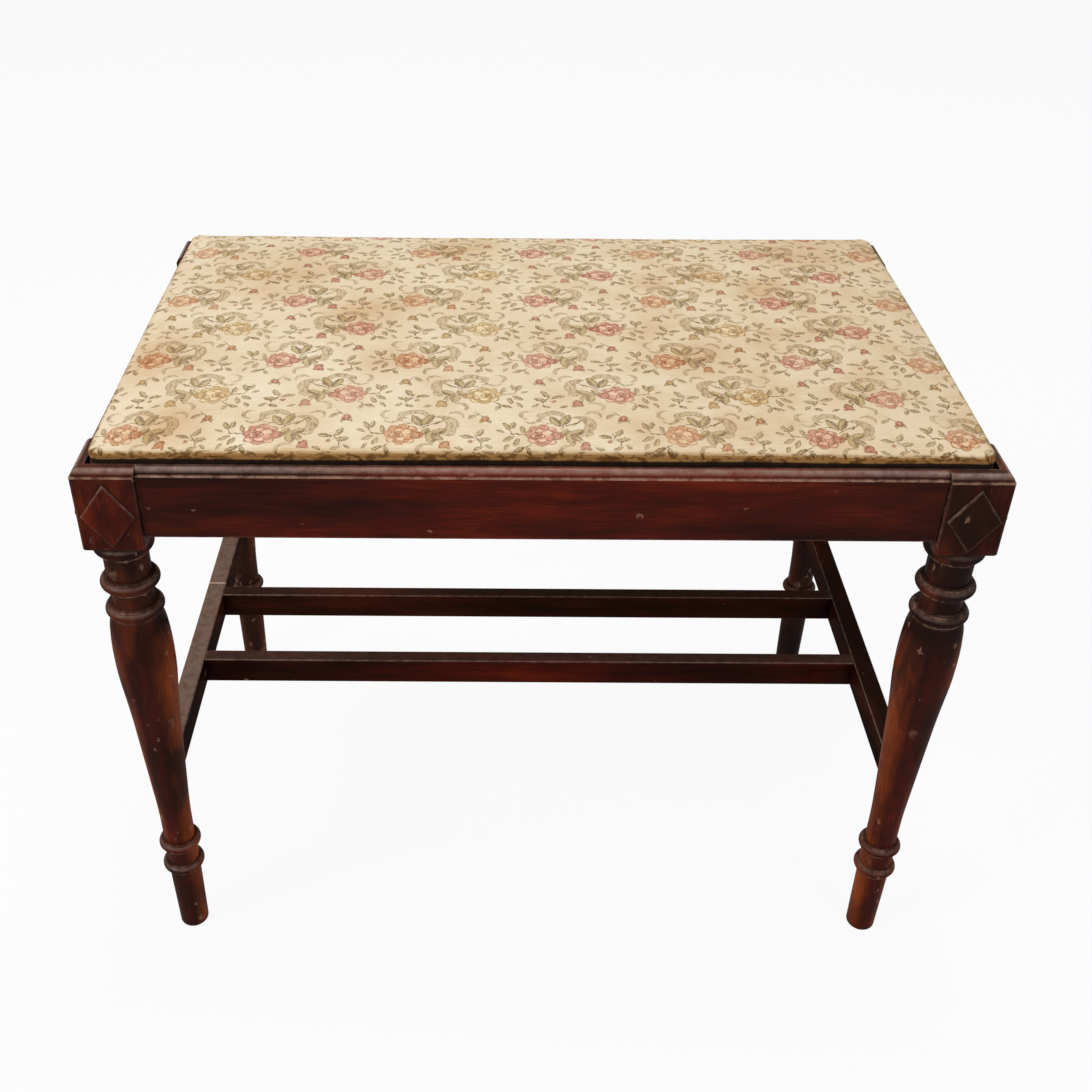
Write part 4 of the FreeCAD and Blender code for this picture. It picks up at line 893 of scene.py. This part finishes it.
def swellPad(pad):
    v = seatPad
    scene = bpy.context.scene
    start = [vert.co.copy() for vert in pad.data.vertices]
    cloth = pad.modifiers.new("swell", "CLOTH")
    for key, value in v["cloth"].items():
        setattr(cloth.settings, key, value)
    cloth.settings.uniform_pressure_force = v["pressure"]
    cloth.settings.effector_weights.gravity = 0
    cloth.collision_settings.use_collision = False
    cloth.point_cache.frame_start, cloth.point_cache.frame_end = 1, v["frames"]
    for step in range(1, v["frames"] + 1):
        scene.frame_set(step)
    shown = pad.evaluated_get(bpy.context.evaluated_depsgraph_get()).to_mesh()
    ends = [vert.co.copy() for vert in shown.vertices]
    pad.modifiers.remove(cloth)
    scene.frame_set(1)
    farthest = 0.0
    for vert, first, end in zip(pad.data.vertices, start, ends):
        shift = end - first
        farthest = max(farthest, shift.length)
        if shift.length > v["most"]:
            shift *= v["most"] / shift.length
        vert.co = first + shift
    pad.data.update()
    print("seat pad swelled, farthest point", round(farthest * 1000, 2), "mm before the cap")


pad = buildSeatPad()
swellPad(pad)
pad.data.polygons.foreach_set("use_smooth", [True] * len(pad.data.polygons))
pad.data.materials.append(coverCloth)
smoother = pad.modifiers.new("smooth", "SUBSURF")
smoother.levels = smoother.render_levels = 1
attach(pad, "seat")
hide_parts("seat_cover", "seat_padding")
print("seat pad:", len(pad.data.polygons), "faces")

# Tacks along the turned-under cloth, and slotted screws through the corner blocks (mm).
tacks = {
    "headRadius": 3.6, "headHeight": 0.9, "stem": 7.6, "stemRadius": 0.95,
    "level": 473.0,
    "long": (168.0, 240.0, 10),   # each long row: off the middle, half its run, tacks in it
    "short": (284.0, 124.0, 5),
    "lean": 0.05,                 # radians, at most
    "seed": 4,
}
screws = {
    "headRadius": 4.0, "headHeight": 2.4, "stem": 22.0, "stemRadius": 2.0, "slot": 0.9,
    "intoLong": (252.7, 171.2, 453.0),    # back right corner, into the long rail and into the short one
    "intoShort": (286.7, 137.2, 461.0),
    "lean": 0.05,
    "seed": 9,
}


def fasteners(name, spots, v, finish):
    # every spot is a place on the head's seat and the way the point goes
    mesh = bpy.data.meshes.new(name)
    mesh.from_pydata([[c / 1000 for c in place] for place, way in spots], [], [])
    aim = mesh.attributes.new("aim", "FLOAT_VECTOR", "POINT")
    for item, (place, way) in zip(aim.data, spots):
        item.vector = way
    piece = bpy.data.objects.new(name, mesh)
    bpy.context.scene.collection.objects.link(piece)
    tree = bpy.data.node_groups.new(name, "GeometryNodeTree")
    tree.interface.new_socket("Geometry", in_out="INPUT", socket_type="NodeSocketGeometry")
    sizes = ("headRadius", "headHeight", "stem", "stemRadius")
    keys = {}
    for key in sizes:
        keys[key] = tree.interface.new_socket(key, in_out="INPUT", socket_type="NodeSocketFloat").identifier
    tree.interface.new_socket("Geometry", in_out="OUTPUT", socket_type="NodeSocketGeometry")
    add = nodeAdder(tree)
    given = add("NodeGroupInput")
    point = add("Math", {0: given.outputs["stemRadius"], 1: 0.25}, operation="MULTIPLY")
    shank = add("GeometryNodeMeshCone", {
        "Vertices": 12, "Side Segments": 4, "Radius Bottom": given.outputs["stemRadius"], "Radius Top": point,
        "Depth": given.outputs["stem"],
    })
    if "slot" in v:
        # pan head with a saw slot
        rim = add("GeometryNodeMeshCylinder", {
            "Vertices": 28, "Radius": given.outputs["headRadius"], "Depth": given.outputs["headHeight"],
        })
        saw = add("GeometryNodeMeshCube", {"Size": (0.02, v["slot"] / 1000, 0.002)})
        placed = []
        for shape, share in ((rim, -0.5), (saw, -1.0)):
            down = add("Math", {0: given.outputs["headHeight"], 1: share}, operation="MULTIPLY")
            down = add("CombineXYZ", {2: down})
            placed.append(add("GeometryNodeTransform", {"Geometry": shape, "Translation": down}))
        head = add("GeometryNodeMeshBoolean", {
            "Mesh 1": placed[0], "Mesh 2": placed[1],
        }, operation="DIFFERENCE")
    else:
        # shallow domed head
        ball = add("GeometryNodeMeshUVSphere", {
            "Segments": 20, "Rings": 10, "Radius": given.outputs["headRadius"],
        })
        flat = add("Math", {
            0: given.outputs["headHeight"], 1: given.outputs["headRadius"],
        }, operation="DIVIDE")
        squash = add("CombineXYZ", {0: 1.0, 1: 1.0, 2: flat})
        head = add("GeometryNodeTransform", {"Geometry": ball, "Scale": squash})
    one = add("GeometryNodeJoinGeometry", {0: head})
    tree.links.new(shank.outputs["Mesh"], one.inputs[0])
    one = add("GeometryNodeSetShadeSmooth", {"Geometry": one, "Shade Smooth": "slot" not in v})
    way = add("GeometryNodeInputNamedAttribute", {"Name": "aim"}, data_type="FLOAT_VECTOR")
    turn = add("FunctionNodeAlignRotationToVector", {"Vector": way.outputs["Attribute"]}, axis="Z")
    lean = v["lean"]
    tilt = add("FunctionNodeRandomValue", {
        0: (-lean, -lean, 0.0), 1: (lean, lean, 6.28), "Seed": v["seed"],
    }, data_type="FLOAT_VECTOR")
    tilt = add("FunctionNodeEulerToRotation", {0: tilt.outputs["Value"]})
    turn = add("FunctionNodeRotateRotation", {0: turn, 1: tilt}, rotation_space="LOCAL")
    many = add("GeometryNodeInstanceOnPoints", {
        "Points": given.outputs["Geometry"], "Instance": one, "Rotation": turn,
    })
    real = add("GeometryNodeRealizeInstances", {"Geometry": many})
    real = add("GeometryNodeSetMaterial", {"Geometry": real, "Material": finish})
    add("NodeGroupOutput", {0: real})
    grow = piece.modifiers.new("fasteners", "NODES")
    grow.node_group = tree
    for key, socket in keys.items():
        grow[socket] = v[key] / 1000
    made = bpy.data.meshes.new_from_object(piece.evaluated_get(bpy.context.evaluated_depsgraph_get()))
    piece.modifiers.remove(grow)
    piece.data = made
    print(name, len(made.polygons), "faces")
    return piece


tackSpots = []
for key in ("long", "short"):
    off, run, count = tacks[key]
    for side in (-1, 1):
        for i in range(count):
            along = -run + i * 2 * run / (count - 1)
            x, y = (along, side * off) if key == "long" else (side * off, along)
            tackSpots.append(((x, y, tacks["level"]), (0, 0, 1)))
tackRow = fasteners("seat_tack_row", tackSpots, tacks, tackSteel)
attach(tackRow, "seat")
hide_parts("seat_tacks")
screwSpots = []
for right in (-1, 1):
    for back in (-1, 1):
        for key, way in (("intoLong", (0, back, 0)), ("intoShort", (right, 0, 0))):
            x, y, z = screws[key]
            screwSpots.append(((right * x, back * y, z), way))
screwSet = fasteners("corner_screw_set", screwSpots, screws, screwSteel)
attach(screwSet, "frame")
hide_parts("corner_block_screws")

# Camera where the photograph was taken from.
shot = {
    "at": (-0.0332, -0.9456, 0.9430),
    "yaw": 0.0003, "pitch": 0.6126, "roll": 0.0063,
    "sensor": 36,
    "lens": 43.12,
    "shift": 0.0487,
}


def aimCamera():
    v = shot
    flat = math.cos(v["pitch"])
    ahead = Vector((math.sin(v["yaw"]) * flat, math.cos(v["yaw"]) * flat, -math.sin(v["pitch"])))
    across = Vector((math.cos(v["yaw"]), -math.sin(v["yaw"]), 0))
    up = across.cross(ahead)
    c, s = math.cos(v["roll"]), math.sin(v["roll"])
    right, top = across * c + up * s, up * c - across * s
    data = bpy.data.cameras.new("camera")
    data.sensor_width = v["sensor"]
    data.lens = v["lens"]
    data.shift_x = v["shift"]
    camera = bpy.data.objects.new("camera", data)
    camera.matrix_world = Matrix((right, top, -ahead)).transposed().to_4x4()
    camera.location = v["at"]
    bpy.context.scene.collection.objects.link(camera)
    bpy.context.scene.camera = camera


aimCamera()
print("camera at", shot["at"])

# White studio floor and soft lights.
studio = {
    "floor": 6.0,           # m, half its side
    "floorGlow": 0.92,      # how far it is plain white to the eye
    "matt": (0.86, 0.86, 0.86, 1),
    "world": 0.3,           # light from all round
    "backdrop": 0.97,       # how bright that looks
    "aim": (0, 0, 0.3),
    # name, place, size, power
    "lamps": (
        ("window", (-1.9, -1.2, 2.1), 1.0, 36.0),
        ("overhead", (0.1, 0.35, 2.5), 0.6, 18.5),
        ("fill", (1.7, -2.3, 1.4), 1.4, 12.0),
    ),
}


def plainlySeen(add):
    # 1 for what the camera sees straight, in a reflection or through glass
    ray = add("LightPath")
    seen = ray.outputs["Is Camera Ray"]
    for other in ("Is Glossy Ray", "Is Transmission Ray"):
        seen = add("Math", {0: seen, 1: ray.outputs[other]}, operation="MAXIMUM")
    return seen


def setStudio():
    v = studio
    scene = bpy.context.scene
    half = v["floor"]
    mesh = bpy.data.meshes.new("floor")
    corners = [(-half, -half, 0), (half, -half, 0), (half, half, 0), (-half, half, 0)]
    mesh.from_pydata(corners, [], [(0, 1, 2, 3)])
    floor = bpy.data.objects.new("floor", mesh)
    scene.collection.objects.link(floor)
    material, add = newMaterial("white_floor")
    seen = add("Math", {0: plainlySeen(add), 1: v["floorGlow"]}, operation="MULTIPLY")
    matt = add("BsdfDiffuse", {"Color": v["matt"]})
    white = add("Emission", {"Color": (1, 1, 1, 1), "Strength": 1.0})
    both = add("MixShader", {0: seen, 1: matt, 2: white})
    add("OutputMaterial", {"Surface": both})
    mesh.materials.append(material)
    world = bpy.data.worlds.new("studio")
    world.use_nodes = True
    world.node_tree.nodes.clear()
    add = nodeAdder(world.node_tree)
    glow = add("MapRange", {"Value": plainlySeen(add), 3: v["world"], 4: v["backdrop"]})
    sky = add("Background", {"Color": (1, 1, 1, 1), "Strength": glow})
    add("OutputWorld", {"Surface": sky})
    scene.world = world
    for name, at, size, power in v["lamps"]:
        data = bpy.data.lights.new(name, "AREA")
        data.size = size
        data.energy = power
        lamp = bpy.data.objects.new(name, data)
        lamp.location = at
        lamp.rotation_euler = (Vector(v["aim"]) - Vector(at)).to_track_quat("-Z", "Y").to_euler()
        scene.collection.objects.link(lamp)
    scene.view_settings.view_transform = "Standard"


setStudio()
print("studio set")
